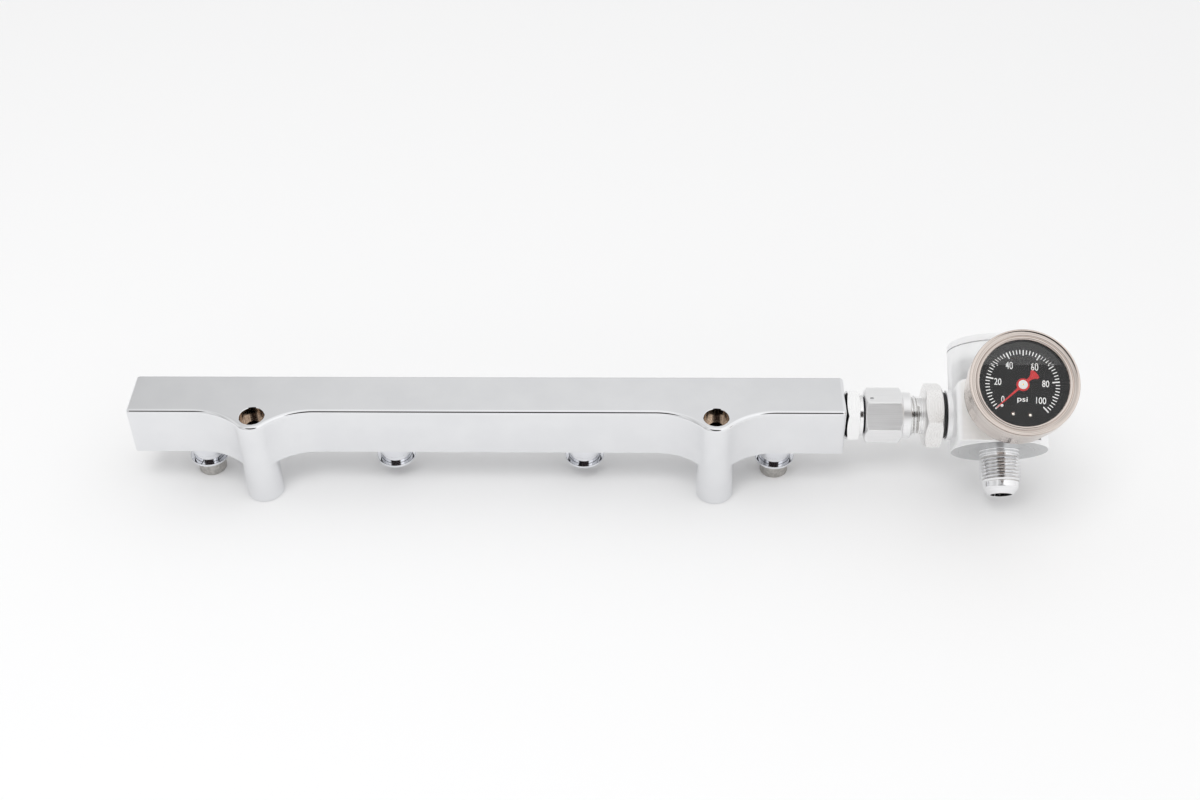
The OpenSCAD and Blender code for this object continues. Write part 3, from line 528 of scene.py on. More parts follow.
def fill(outline, holes=(), place=UPRIGHT, level=0.0):
    """Triangles inside an outline and outside its round holes, at one height of a place.
    A triangle is in a hole where its middle is nearer to the hole's than the rim is."""
    loops = [np.array(loop, float) for loop in (outline, *holes)]
    points = np.concatenate(loops)
    edges, first = [], 0
    for loop in loops:
        i = np.arange(len(loop))
        edges.append(np.stack([i, (i + 1) % len(loop)], -1) + first)
        first += len(loop)
    flat = [Vector(p) for p in points.tolist()]
    found, _, faces, _, _, _ = delaunay_2d_cdt(flat, np.concatenate(edges).tolist(), [], 1, 1e-5)
    grid, faces = np.array([[*p, level] for p in found]), np.array(faces)
    middle = grid[faces].mean(1)
    for hole in loops[1:]:
        off = np.linalg.norm(middle[:, :2] - hole.mean(0), axis=1)
        kept = off > np.linalg.norm(hole - hole.mean(0), axis=1).min() * 0.998
        faces, middle = faces[kept], middle[kept]
    return place(grid), faces


print("a disc has", len(disc(1, 0, 1, 0.1)), "points in its profile")

# %% [markdown]
# The rail is one billet: a square bar with two flares on its front that carry
# the bolts. A milling cutter leaves each flare as a round nose with a hollow arc
# on both sides. Polishing rounds the top edges, so the outline is swept up the
# wall and then inwards along a quarter circle. The legs grow out of the noses.

# %% Outline of the bar
EDGE_R, CORNER_R, HOLLOW_R = 1.8, 1.85, 30.0
RUN = math.sqrt((HOLLOW_R + LEG_R) ** 2 - (HOLLOW_R - BAR_FRONT) ** 2)
MEET = math.degrees(math.atan2(HOLLOW_R - BAR_FRONT, RUN))


def bend(x, y, r, start, end, steps, side=1):
    """An arc's points and the directions that lead out of the metal: x, y, nx, ny."""
    t = np.radians(np.linspace(start, end, steps + 1))
    way = np.stack([np.cos(t), np.sin(t)], -1)
    return np.concatenate([np.array([x, y]) + r * way, side * way], -1)


def flare(x, under=False):
    """One flare from left to right; under the bar the leg's back half takes the nose's place."""
    low = BAR_FRONT - HOLLOW_R
    left = bend(x - RUN, low, HOLLOW_R, 90, MEET, 28, -1)
    nose = bend(x, 0, LEG_R, 180 + MEET, 360 - MEET, 24)
    if under:
        nose = bend(x, 0, LEG_R, 180 + MEET, -MEET, 72, -1)
    right = bend(x + RUN, low, HOLLOW_R, 180 - MEET, 90, 28, -1)
    return [left, nose[1:-1], right]


def bar_outline(under=False):
    """The bar's plan, anticlockwise from its front left corner."""
    x, y0, y1, r = BAR_END - CORNER_R, BAR_FRONT + CORNER_R, BAR_BACK - CORNER_R, CORNER_R
    parts = [bend(-x, y0, r, 180, 270, 6), *flare(-LEG_X, under), *flare(LEG_X, under)]
    parts += [bend(x, y0, r, 270, 360, 6), bend(x, y1, r, 0, 90, 6), bend(-x, y1, r, 90, 180, 6)]
    return np.concatenate(parts)


def inset(outline, depth):
    """The outline moved into the metal by a depth."""
    return outline[:, :2] - depth * outline[:, 2:]


def lift(plan, z):
    """A plan's points at a height, or each at its own height."""
    return np.c_[plan[:, :2], np.zeros((len(plan), 1)) + z]


def rounded_wall(plan, low, top, radius, steps):
    """Rows up a wall and inwards along a quarter circle: at angle a the plan is moved in by
    radius (1 - cos a) and lies at the height top - radius (1 - sin a)."""
    arcs = np.radians(np.linspace(0, 90, steps + 1))
    rows = [lift(inset(plan, radius * (1 - math.cos(a))), top - radius * (1 - math.sin(a))) for a in arcs]
    return np.stack([lift(plan, low), *rows])


outline = bar_outline()
print(len(outline), "points round the bar")

# %% [markdown]
# A thread is a ridge that climbs one pitch in one turn. Drawn as a grid, each
# column is a section through it, lifted a little more than the last one, and the
# whole grid is cut off square at both ends.

# %% Circles and screw threads
PITCH = 1.5875


def circle(r, angles=FULL, x=0.0, y=0.0):
    """Points round a circle."""
    t = np.radians(angles)
    return np.stack([x + r * np.cos(t), y + r * np.sin(t)], -1)


def thread(root, crest, start, end, place):
    """Screw thread as a sheared grid: row i of column t lies at start + (i / 4 + t / 360)
    pitches, and the four rows of a pitch run root, crest, crest, root. Both ends are
    cut off square and chamfered down to the root."""
    t = np.linspace(0, 360, ROUND + 1)
    turns = math.ceil((end - start) / PITCH) + 1
    at = np.array([0.12, 0.44, 0.58, 0.90])
    along = (np.arange(-1, turns)[:, None] + at).reshape(-1, 1)
    z = np.clip(start + (along + t / 360) * PITCH, start, end)
    r = np.tile([root, crest, crest, root], turns + 1)[:, None] + 0 * z
    limit = np.minimum(z - start, end - z) * 0.8
    slope = np.sign(crest - root)
    r = root + slope * np.minimum(np.abs(r - root), limit)
    return sweep(r, z, t, place, wrap=False)


print("thread pitch", PITCH, "mm")

# %% [markdown]
# The billet is open where the real one is: a gallery from end to end, a threaded
# port at both ends, four cup seats and two bolt holes with counterbores. Each
# flat's holes repeat the points of the bore that starts there, so that the
# two can weld. Inside, the plating is thin and brown, and the upper part of each
# counterbore is painted near black as painted shade.

# %% Rail body
PORT_R, RECESS_R, RECESS_H, TAP_END, GALLERY_R = 8.785, 10.525, 1.5, 13.0, 6.35
BOLT_R, HEAD_R, HEAD_H, BORE_SHADE_H = 3.3, 5.8, 6.0, 2.9
CUP_X = (-135.0, -45.0, 45.0, 135.0)
SPIGOT_R, SPIGOT_TOP, FEED_R = 7.53, BAR_UNDER + 4.6, 4.0
LEG_ANGLES = np.concatenate([np.linspace(180 + MEET, 360 - MEET, 25)[:-1],
                             np.linspace(-MEET, 180 + MEET, 73)[:-1]])


def rail_body():
    """The billet with its legs, counterbores, ports, gallery and cup seats."""
    rows = rounded_wall(outline, BAR_UNDER, BAR_TOP, EDGE_R, 9)
    wall = quads(len(rows), len(outline))
    ends = np.abs(outline[:, 2]) > 0.9999
    closed = ends & np.roll(ends, -1) & (np.abs(outline[:, 0]) > BAR_END - 0.01)
    parts = [(rows, np.concatenate([wall[0][~closed], wall[1:].reshape(-1, 4)]))]

    rim = HEAD_R + 0.25
    bolts = [circle(rim, LEG_ANGLES, x) for x in (-LEG_X, LEG_X)]
    parts.append(fill(inset(outline, EDGE_R), bolts, level=BAR_TOP))
    seats = [circle(SPIGOT_R, x=x, y=AXIS_Y) for x in CUP_X]
    parts.append(fill(bar_outline(under=True)[:, :2], seats, level=BAR_UNDER))
    leg = [(rim, BAR_TOP), (HEAD_R, BAR_TOP - 0.25), (HEAD_R, BAR_TOP - BORE_SHADE_H), (HEAD_R, BAR_TOP - HEAD_H),
           (BOLT_R, BAR_TOP - HEAD_H), (BOLT_R, 0.3), (BOLT_R + 0.3, 0)]
    foot = soften([leg[-1], (LEG_R, 0), (LEG_R, BAR_UNDER)], 0.5)
    bolt_axes = [UPRIGHT.moved(x) for x in (-LEG_X, LEG_X)]
    parts += [revolve([*leg, *foot[1:]], axis, LEG_ANGLES) for axis in bolt_axes]
    feed_top = AXIS_Z - GALLERY_R
    seat = [(SPIGOT_R, BAR_UNDER), (SPIGOT_R, SPIGOT_TOP), (FEED_R, SPIGOT_TOP), (FEED_R, feed_top),
            (0, feed_top)]
    parts += [revolve(seat, UPRIGHT.moved(x, AXIS_Y)) for x in CUP_X]

    low, high = BAR_UNDER, BAR_TOP - EDGE_R
    y0, y1 = BAR_FRONT + CORNER_R, BAR_BACK - CORNER_R
    plate = [(y0, low), (y1, low), (y1, high), (y0, high)]
    for port, side in ((LEFT_PORT, -1), (FITTINGS, 1)):
        hole = port(lift(circle(RECESS_R), 0))[:, 1:]
        face = Place([side * BAR_END, 0, 0], [0, 1, 0], [0, 0, 1], [1, 0, 0])
        parts.append(fill(plate, [hole], face))
        parts.append(revolve([(RECESS_R, 0), (RECESS_R, -RECESS_H), (PORT_R, -RECESS_H)], port))
        parts.append(thread(PORT_R, PORT_R + 0.6, -TAP_END + 1, -RECESS_H, port))
        parts.append(revolve([(PORT_R, -TAP_END + 1), (PORT_R, -TAP_END), (GALLERY_R, -TAP_END),
                              (GALLERY_R, -BAR_END)], port))
    piece = make("rail_billet", parts, CHROME, "rail_body")
    crisp(piece, BAR_TOP)
    ports = [zone(port, -BAR_END - 1, -0.1, far=9.6) for port in (LEFT_PORT, FITTINGS)]
    # Painted shade: the upper part of each counterbore's wall is painted near black.
    wells, shaded_wells = ([zone(axis, low, BAR_TOP - 0.3, far=HEAD_R + 0.1) for axis in bolt_axes]
                    for low in (-1, BAR_TOP - BORE_SHADE_H))
    paint(piece, PORE, *ports, *wells)
    paint(piece, BORE_SHADE, *shaded_wells)
    return piece


billet = rail_body()
print(billet.name, len(billet.data.polygons), "faces")

# %% [markdown]
# The injector cups and their plugs are turned, so a profile and one turn describe
# them whole. Their broken edges are what catches the light. The clip's groove
# between shoulder and lip lies in shade, and its upper corner and the lip's upper
# face are painted near black as painted shade.

# %% Injector cups and plugs


def cup(number, x):
    """A cup: spigot, collar, barrel, clip groove, lip and the injector's bore."""
    top, lip, low = BAR_UNDER, BAR_UNDER - 12.5, BAR_UNDER - 13.7
    shoulder = BAR_UNDER - 8.1
    profile = [(4, top + 4.6), (7.5, top + 4.6), (7.5, top), (9.3, top), (9.3, top - 1.8), (8.3, top - 2.3),
               (8.3, shoulder), (7.4, shoulder - 0.1), (7.4, shoulder - 0.45), (7.4, lip + 0.3), (7.4, lip),
               (9.3, lip), (9.3, low), (7.1, low), (6.85, low + 0.3), (6.85, low + 12), (4, low + 12)]
    place = UPRIGHT.moved(x, AXIS_Y)
    piece = make(f"injector_cup_{number}_turned", [revolve(soften(profile, 0.22, closed=True), place)],
                 CUP, f"injector_cup_{number}")
    # Painted shade: the groove's upper corner and the lip's upper face are painted near black.
    paint(piece, GROOVE_SHADE, zone(place, shoulder - 0.45, shoulder - 0.02, near=7.2),
          zone(place, lip - 0.02, lip + 0.3, near=7.2))
    return piece


def plug(side, x):
    """A grey turned plug that fills an outer cup and stands level with the legs."""
    top = BAR_UNDER - 1.7
    grey = revolve(disc(6.55, 0, top, 0.5), UPRIGHT.moved(x, AXIS_Y))
    return make(f"cup_plug_{side}_turned", [grey], PLUG, f"cup_plug_{side}")


cups = [cup(i + 1, x) for i, x in enumerate(CUP_X)]
plugs = [plug("left", CUP_X[0]), plug("right", CUP_X[3])]
print(len(cups), "cups and", len(plugs), "plugs")

# %% [markdown]
# A hexagon with its corners turned off is the common part of a hexagon and a
# cone. Its edge line is a curve, and it can be written down: in each direction
# the flat lies at half the width over the cosine of the angle to the flat, and
# the cone says how far along the axis it meets that radius.

# %% Hexagons


def hexagon(width, low, high, inner_low, inner_high, edge, turn, place):
    """Rows of a hexagonal bar: inner rim, chamfer, flat, chamfer, inner rim. In direction t
    the flat's radius is half the width over cos(t - the flat's middle), and the chamfer
    climbs from the face in proportion to the radius."""
    t = around(turn)
    off = np.radians((t - turn) % 60 - 30)
    flat = width / 2 / np.cos(off)
    start = width / 2 - 0.25
    climb = (flat - start) * edge / (width / math.sqrt(3) - start)
    rows = [(inner_low, low), (start, low), (flat, low + climb),
            (flat, high - climb), (start, high), (inner_high, high)]
    r, z = (np.stack([value + 0 * t for value in column]) for column in zip(*rows))
    return sweep(r, z, t, place)


print("hexagons have", ROUND // 6, "points to a side")

# %% [markdown]
# The coupling is four pieces on one axis. The adapter screws into the bar, the
# swivel nut turns on the adapter's tail, and it pulls the housing's fitting
# against the flare seat. The stations along the axis are the same as on the
# real parts: O-ring, hexagon, neck, nut, thread, hexagon, O-ring.

# %% Rail adapter
HEX1, NECK, NUT, NUT_HEX, NUT_END = 0.8, 6.8, 9.3, 26.5, 30.3
BIG, GLAND, BOSS = 36.5, 44.7, 46.8
BORE_R, TAIL_R = 5.0, 8.4
WIRE_AT, WIRE_WAY = 12.3, 183.5
SHADE_BAND = (7.9, 8.56)
STUB_R, UNDERCUT_R = PORT_R - 0.06, PORT_R - 0.76


def rail_adapter():
    """Port thread, hexagon, shoulder, neck and tail with a through bore."""
    turn = -10
    inside = [(BORE_R, -11), (STUB_R, -11), (STUB_R, -1.3), (UNDERCUT_R, -1.3), (UNDERCUT_R, HEX1)]
    outside = [(9.6, NECK), (9.6, 8.5), (8.45, 8.5), (TAIL_R, 9.05), (TAIL_R, 19), (BORE_R, 19),
               (BORE_R, -11)]
    angles = around(turn)
    parts = [revolve(soften(inside), FITTINGS, angles), revolve(soften(outside, 0.25), FITTINGS, angles),
             hexagon(22.2, HEX1, NECK, UNDERCUT_R, 9.6, 0.7, turn, FITTINGS)]
    piece = make("rail_adapter_turned", parts, BRIGHT, "rail_adapter")
    # Painted shade: the tail in the gap between shoulder and nut is painted near black.
    paint(piece, GROOVE_SHADE, zone(FITTINGS, 8.48, 9.4, *SHADE_BAND))
    return piece


adapter = rail_adapter()
print(adapter.name, len(adapter.data.polygons), "faces")

# %% [markdown]
# The swivel nut is held on the tail by a wire that was fed in through a small
# hole. The hole is drilled: a boolean takes a small closed cylinder away from
# the nut. A bevel along the crisp edges is the wear that a spanner leaves.

# %% Swivel nut


def swivel_nut():
    """The nut's hexagon and collar, with the small hole that its wire went in by."""
    turn = 21.5
    angles = around(turn)
    mouth = [(10.6, NUT_HEX), (10.6, NUT_END), (9.35, NUT_END), (9.35, 15), (8.5, 15), (8.5, NUT)]
    parts = [hexagon(22.2, NUT, NUT_HEX, 8.5, 10.6, 1.2, turn, FITTINGS),
             revolve(soften(mouth, 0.7), FITTINGS, angles)]
    nut = make("swivel_nut_turned", parts, SATIN, "swivel_nut")
    way = np.radians(WIRE_WAY)
    out = FITTINGS.axes[0] * math.cos(way) + FITTINGS.axes[1] * math.sin(way)
    drill = Place(FITTINGS([0, 0, WIRE_AT]), np.cross(out, [1, 0, 0]), [1, 0, 0], out)
    cut(nut, [revolve([(0, 9.3), (0.8, 9.3), (0.8, 14), (0, 14)], drill, around(0, 24))])
    bevel = nut.modifiers.new("worn edges", "BEVEL")
    bevel.width, bevel.segments, bevel.limit_method = 0.4 * MM, 2, "ANGLE"
    bevel.angle_limit = math.radians(40)
    nut.modifiers.move(len(nut.modifiers) - 1, 0)
    return nut


def cut(piece, tool, operation="DIFFERENCE"):
    """Apply a boolean with a closed tool surface to a piece's own mesh."""
    old = piece.data
    work, other = bpy.data.objects.new("work", old), surface("tool", tool)
    link(work)
    step = work.modifiers.new("cut", "BOOLEAN")
    step.operation, step.solver, step.object = operation, "EXACT", other
    view = bpy.context.evaluated_depsgraph_get()
    piece.data = bpy.data.meshes.new_from_object(work.evaluated_get(view))
    piece.data.name = old.name
    for mesh in (old, other.data):
        bpy.data.meshes.remove(mesh)
    shade(piece.data)


nut = swivel_nut()
print(nut.name, len(nut.data.polygons), "faces")

# %% [markdown]
# The housing's fitting is turned from one bar: a flare cone, a long thread, a
# relief that still shows the tool's ripple, and a hexagon against its O-ring.
# The thread's roots are painted darker, since little light gets down there.

# %% Housing adapter and three rings


def ring(name, node, mean, wire, at, place, material=RUBBER):
    """A torus: a circle of the wire's radius goes round at the mean radius."""
    t = np.radians(np.linspace(0, 360, 33))
    profile = np.stack([mean + wire * np.cos(t), at + wire * np.sin(t)], -1)
    return make(name, [revolve(profile, place)], material, node)


def housing_adapter():
    """Flare cone, long thread, relief, big hexagon and the stub in the regulator's inlet."""
    crest, root = 9.375, 8.40
    front = [(BORE_R, 15.5), (5.3, 15.5), (7.8, 19.05), (7.8, 21), (root, 21)]
    along = np.linspace(34.3, BIG - 0.2, 29)
    ripple = np.stack([8.60 + 0.14 * np.cos(along * 6.0), along], -1)
    relief = [(root, 34.1), *ripple, (8.7, BIG)]
    stub = [(8.5, GLAND), (8.5, BOSS), (STUB_R, BOSS), (STUB_R, 56.8), (BORE_R, 56.8), (BORE_R, 15.5)]
    parts = [revolve(soften(front, 0.2), FITTINGS), thread(root, crest, 21, 34.1, FITTINGS),
             revolve(relief, FITTINGS), hexagon(27, BIG, GLAND, 8.7, 8.5, 1.1, 0, FITTINGS),
             revolve(soften(stub, 0.2), FITTINGS)]
    piece = make("housing_adapter_turned", parts, BRIGHT, "housing_adapter")
    paint(piece, HEX, zone(FITTINGS, BIG - 0.1, GLAND - 0.05))
    paint(piece, ROOT_SHADE, zone(FITTINGS, 21, 34, *SHADE_BAND))
    return piece


housing = housing_adapter()
ring("rail_adapter_o_ring_moulded", "rail_adapter_o_ring", 9.075, 1.05, -0.25, FITTINGS)
ring("housing_adapter_o_ring_moulded", "housing_adapter_o_ring", 9.575, 1.05, 45.75, FITTINGS)
ring("swivel_wire_round", "swivel_wire", 8.45, 0.58, WIRE_AT, FITTINGS, SPRING)
print(housing.name, len(housing.data.polygons), "faces, and three rings")

# %% [markdown]
# The regulator's ports are drilled in a squared block. Its plan goes up as a
# wall and bends inwards at the top, with a large radius where the casting was
# rounded by hand and a small one where a cutter left it crisp.

# %% Port block
REG_R, REG_FRONT, CAP_S, REG_BACK = 22.2, 17.0, -30.4, -34.0
BLOCK_LEFT, BLOCK_RIGHT, BLOCK_TOP = -22.2, 15.0, 21.9


def port_block():
    """A prism over its plan. Its top edge is a quarter circle whose radius changes from
    point to point: large along the left side, small elsewhere."""
    small, big = 0.4, 2.6
    front, back, r = -(REG_FRONT - 0.5), 12.0, 4.0
    plan = np.concatenate([
        [[BLOCK_LEFT + big, front, 0, -1], [BLOCK_RIGHT, front, 0, -1], [BLOCK_RIGHT, front, 1, 0]],
        bend(BLOCK_RIGHT - r, back - r, r, 0, 90, 8), bend(BLOCK_LEFT + r, back - r, r, 90, 180, 8),
        [[BLOCK_LEFT, front, -1, 0]]])
    radius = np.full((len(plan), 1), small)
    radius[-10:-1, 0] = np.linspace(small, big, 9)
    radius[-1] = big
    rows = rounded_wall(plan, 0, BLOCK_TOP, radius, 5)
    wall = quads(len(rows), len(plan)).reshape(-1, 4)
    halves = np.concatenate([wall[:, :3], wall[:, [0, 2, 3]]])
    return [(BLOCK(rows), halves), fill(rows[-1][:, :2], place=BLOCK, level=BLOCK_TOP),
            fill(rows[0][:, :2], place=BLOCK)]


block = port_block()
print("port block", sum(len(faces) for _, faces in block), "triangles")

# %% [markdown]
# The barrel and the outlet share an axis, so one turned profile with a thread in
# it draws both. Booleans then join the block and the inlet's boss to it. The cap
# is turned too, and a thin tenon between cap and barrel shows as the seam.

# %% Regulator body and cap


def regulator_body():
    """Barrel and outlet as one turned piece, then the block and the boss joined on."""
    neck, crest, root = 8.725, 9.375, 8.40
    start, end = REG_FRONT + 3.2, 31.9
    barrel = [(0, CAP_S), (REG_R - 0.3, CAP_S), (REG_R, CAP_S + 0.3), (REG_R, REG_FRONT), (neck, REG_FRONT),
              (neck, REG_FRONT + 1.1), (neck + 0.35, REG_FRONT + 1.1), (neck + 0.35, REG_FRONT + 1.9),
              (neck, REG_FRONT + 1.9), (neck, start), (root, start)]
    nose = [(root, end), (8.3, end + 0.1), (8.3, 34.5), (5.9, 37.5), (4.85, 37.5), (4.85, 2), (0, 2)]
    parts = [revolve(soften(barrel, 0.45), REGULATOR), thread(root, crest, start, end, REGULATOR),
             revolve(soften(nose, 0.3), REGULATOR)]
    body = make("regulator_body_machined", parts, HOUSING, "regulator_body")
    cut(body, block, "UNION")
    boss = [(0, 2), (11.6, 2), (11.6, 24.4), (PORT_R, 24.4), (PORT_R, 12), (0, 12)]
    cut(body, [revolve(soften(boss, 0.35), INLET)], "UNION")
    paint(body, POLISHED, zone(REGULATOR, REG_FRONT + 0.05, 99))
    # Painted shade: the thread's roots are painted darker.
    paint(body, ROOT_SHADE, zone(REGULATOR, start, end, *SHADE_BAND))
    # Painted shade: the turned end face round the outlet is painted darker.
    paint(body, FACE_SHADE, zone(REGULATOR, REG_FRONT - 0.05, REG_FRONT + 0.05))
    paint(body, BLASTED, zone(BLOCK, BLOCK_TOP - 0.05, 99))
    return body


def regulator_cap():
    """The cap: rounded flange, a thin tenon that shows as the seam, and a hexagon socket."""
    seam = CAP_S - 0.35
    socket = [(5.6, REG_BACK + 0.1), (5.6, REG_BACK + 3), (0, REG_BACK + 3)]
    flange = [(5.6, REG_BACK + 0.1), (5.9, REG_BACK), (REG_R, REG_BACK), (REG_R, seam), (REG_R - 1.1, seam),
              (REG_R - 1.1, CAP_S), (0, CAP_S)]
    back = soften(flange[1:4], 2.6, 8)
    edge = soften(flange[3:], 0.15)
    parts = [revolve(socket, REGULATOR), revolve([flange[0], *back], REGULATOR), revolve(edge, REGULATOR)]
    return make("regulator_cap_turned", parts, HOUSING, "regulator_cap")


body, cap = regulator_body(), regulator_cap()
print(body.name, len(body.data.polygons), "faces")

# %% [markdown]
# The gauge is a drawn steel case with a bezel rolled over its rim. The bezel is
# two soft ridges with a shallow valley between them, and a step under it shows
# as a dark line against the brushed case.

# %% Gauge case and bezel
BEZEL_R, FRONT, WINDOW_R = 23.7, 64.0, 19.1
CASE_R, CASE_BACK, WALL = 22.3, 36.0, 0.9
BEZEL_BACK, LENS_TOP, LENS_LOW, DIAL_TOP = 55.0, 62.5, 60.5, 57.0


def gauge_case():
    """A cup with a rounded back edge and one thin wall."""
    outer = soften([(5.6, CASE_BACK), (CASE_R, CASE_BACK), (CASE_R, BEZEL_BACK + 3)], 6.5, 12)
    inner = soften([(CASE_R - WALL, BEZEL_BACK + 3), (CASE_R - WALL, CASE_BACK + WALL),
                    (5.6, CASE_BACK + WALL)], 5.7, 12)
    loop = np.concatenate([outer, inner, outer[:1]])
    return make("gauge_case_drawn", [revolve(loop, GAUGE, around(0, 144))], STEEL, "gauge_case")


def gauge_bezel():
    """The rolled ring: side, outer ridge, valley, inner ridge, wall down to the lens."""
    side = [(CASE_R + 0.05, BEZEL_BACK + 4), (CASE_R + 0.05, BEZEL_BACK + 0.3), (CASE_R + 0.4, BEZEL_BACK),
            (23.0, BEZEL_BACK), (23.05, BEZEL_BACK + 1.2), (BEZEL_R, BEZEL_BACK + 1.6)]
    ridge = soften([(BEZEL_R, BEZEL_BACK + 1.6), (BEZEL_R, FRONT), (22.6, FRONT), (20.9, FRONT - 1.0),
                    (20.3, FRONT - 0.35), (19.5, FRONT - 0.35), (WINDOW_R, FRONT - 0.9),
                    (WINDOW_R, LENS_TOP)], 0.9, 8)
    inside = [(WINDOW_R + 1.6, LENS_TOP), (WINDOW_R + 1.6, BEZEL_BACK + 4), (CASE_R + 0.05, BEZEL_BACK + 4)]
    loop = np.concatenate([soften(side, 0.2), ridge[1:], inside])
    return make("gauge_bezel_rolled", [revolve(loop, GAUGE, around(0, 144))], STEEL, "gauge_bezel")


case, bezel = gauge_case(), gauge_bezel()
print("case and bezel:", len(case.data.polygons) + len(bezel.data.polygons), "faces")

# %% [markdown]
# The dial is a printed disc. Its print is white ink, so the ticks and the plain
# numbers are thin raised shapes: a tick is a box in its own direction, and a
# number is Blender's own font turned into a mesh and laid on the dial. It could
# be an image, but a mesh stays crisp at any distance.

# %% Dial and its print
DIAL_R, ZERO, SWEEP = 20.3, 225.0, 270.0
INK_H, TICK_R = 0.03, 16.0


def ticks():
    """One box for each two units: longer and wider at each ten, longest at each twenty."""
    step = np.arange(51)
    count = len(step)
    angle = np.radians(ZERO - SWEEP * step / 50)
    major, middle = step % 10 == 0, (step % 5 == 0)
    inner = np.where(major, 12.8, np.where(middle, 13.5, 14.1))
    half = np.where(major, 0.30, np.where(middle, 0.23, 0.20))
    out = np.stack([np.cos(angle), np.sin(angle)], -1)
    side = np.stack([-out[:, 1], out[:, 0]], -1)
    ends = np.stack([inner, np.full(count, TICK_R)], -1)
    plan = ends[:, [0, 1, 1, 0], None] * out[:, None]
    plan += half[:, None, None] * np.array([-1, -1, 1, 1])[None, :, None] * side[:, None]
    low, high = DIAL_TOP, DIAL_TOP + INK_H
    box = np.concatenate([np.concatenate([plan, np.full((count, 4, 1), h)], -1) for h in (low, high)], 1)
    faces = np.array([[0, 3, 2, 1], [4, 5, 6, 7], [0, 1, 5, 4], [1, 2, 6, 5], [2, 3, 7, 6], [3, 0, 4, 7]])
    return GAUGE(box), faces[None] + 8 * step[:, None, None]


def lettering(text, x, y, wide, high):
    """A word or number of a given width and height in millimetres, centred on a point."""
    curve = bpy.data.curves.new("print", "FONT")
    curve.body, curve.extrude, curve.offset = text, 0.02, 0.006
    curve.resolution_u = 4
    piece = bpy.data.objects.new("print", curve)
    link(piece)
    view = bpy.context.evaluated_depsgraph_get()
    mesh = bpy.data.meshes.new_from_object(piece.evaluated_get(view))
    work = bmesh.new()
    work.from_mesh(mesh)
    bmesh.ops.triangulate(work, faces=work.faces)
    work.to_mesh(mesh)
    work.free()
    p = read(mesh.vertices, "co", float, 3)
    f = read(mesh.polygons, "vertices", int, 3)
    low, top = p.min(0), p.max(0)
    p = (p - (low + top) / 2) / (top - low) * [wide, high, INK_H]
    bpy.data.objects.remove(piece)
    bpy.data.meshes.remove(mesh)
    return GAUGE(p + [x, y, DIAL_TOP + INK_H / 2]), f


DIAL_BLACK = plain("dial_black", ((0.007, 0.007, 0.008), (0.011, 0.011, 0.012)), (0.50, 0.60), bump=0.02)
# Painted glow: the white print and the stop pin give off a little light of their own colour.
GLOWING_INK = plain("pin_white", ((0.80, 0.80, 0.79), (0.88, 0.88, 0.87)), (0.5, 0.6), scale=400.0, bump=0.02,
            painted_glow=0.5)
# Painted glow: the hub's white cap gives off a little light of its own colour.
GLOWING_WHITE = plain("white_enamel", ((0.90, 0.90, 0.89), (0.94, 0.94, 0.93)), (0.3, 0.4), bump=0.01, painted_glow=0.3)
face = revolve(disc(DIAL_R, DIAL_TOP - 0.6, DIAL_TOP, 0.1), GAUGE)
make("gauge_dial_disc", [face], DIAL_BLACK, "gauge_dial")
words = [("0", -8.3, -6.8, 1.4, 2.9), ("20", -10.7, 0.8, 3.1, 3.0), ("40", -6.0, 8.2, 3.1, 3.0),
         ("60", 4.9, 8.3, 3.1, 3.0), ("80", 9.8, 1.3, 3.0, 3.0), ("100", 8.05, -6.3, 4.3, 3.0),
         ("psi", 0.1, -6.6, 4.4, 2.9)]
printing = make("dial_print", [ticks(), *[lettering(*word) for word in words]], GLOWING_INK)
print("dial print:", len(printing.data.polygons), "faces")

# %% [markdown]
# The pointer is stamped from thin sheet and painted red. Its outline is drawn
# once: the needle, the hub's circle and a tail that flares like a spade. It
# rides on the pointer's body, so it turns when the pressure rises. The hub's
# cap, the arbor's end, the dial's screws and the stop pin at zero are turned, so
# one loop makes them from a table.

# %% Pointer, hub and small parts
POINTER_Z, POINTER_H = 57.9, 0.4
HAND = GAUGE.turned(ZERO)
# Painted glow: the red pointer gives off a little light of its own colour.
GLOWING_RED = plain("pointer_red", ((0.52, 0.030, 0.034), (0.64, 0.042, 0.046)), (0.35, 0.5), bump=0.05, painted_glow=0.4)


def pointer():
    """Outline as upper half and its mirror image, filled below and above."""
    neck = np.degrees(np.arcsin([0.53 / 2.8, 0.75 / 2.8]))
    hub = circle(2.8, np.linspace(neck[0], 180 - neck[1], 24))
    t = np.linspace(0, 1, 9)[:, None]
    flank = (1 - t) ** 2 * [-3.6, 0.72] + 2 * t * (1 - t) * [-5.6, 0.9] + t**2 * [-6.5, 2.3]
    butt = circle(5.9, np.linspace(157.5, 180, 6)) + [-2.0, 0]
    butt[:, 0] -= butt[-1, 0] + 7.9
    half = np.concatenate([[[15.6, 0.13]], hub, flank, butt])
    plan = np.concatenate([half, half[::-1][1:] * [1, -1]])
    low, high = POINTER_Z, POINTER_Z + POINTER_H
    wall = np.stack([lift(plan, h) for h in (low, high)])
    parts = [(HAND(wall), quads(2, len(plan))), fill(plan, place=HAND, level=low),
             fill(plan, place=HAND, level=high)]
    return make("gauge_pointer_stamped", parts, GLOWING_RED, "gauge_pointer", body="pointer")


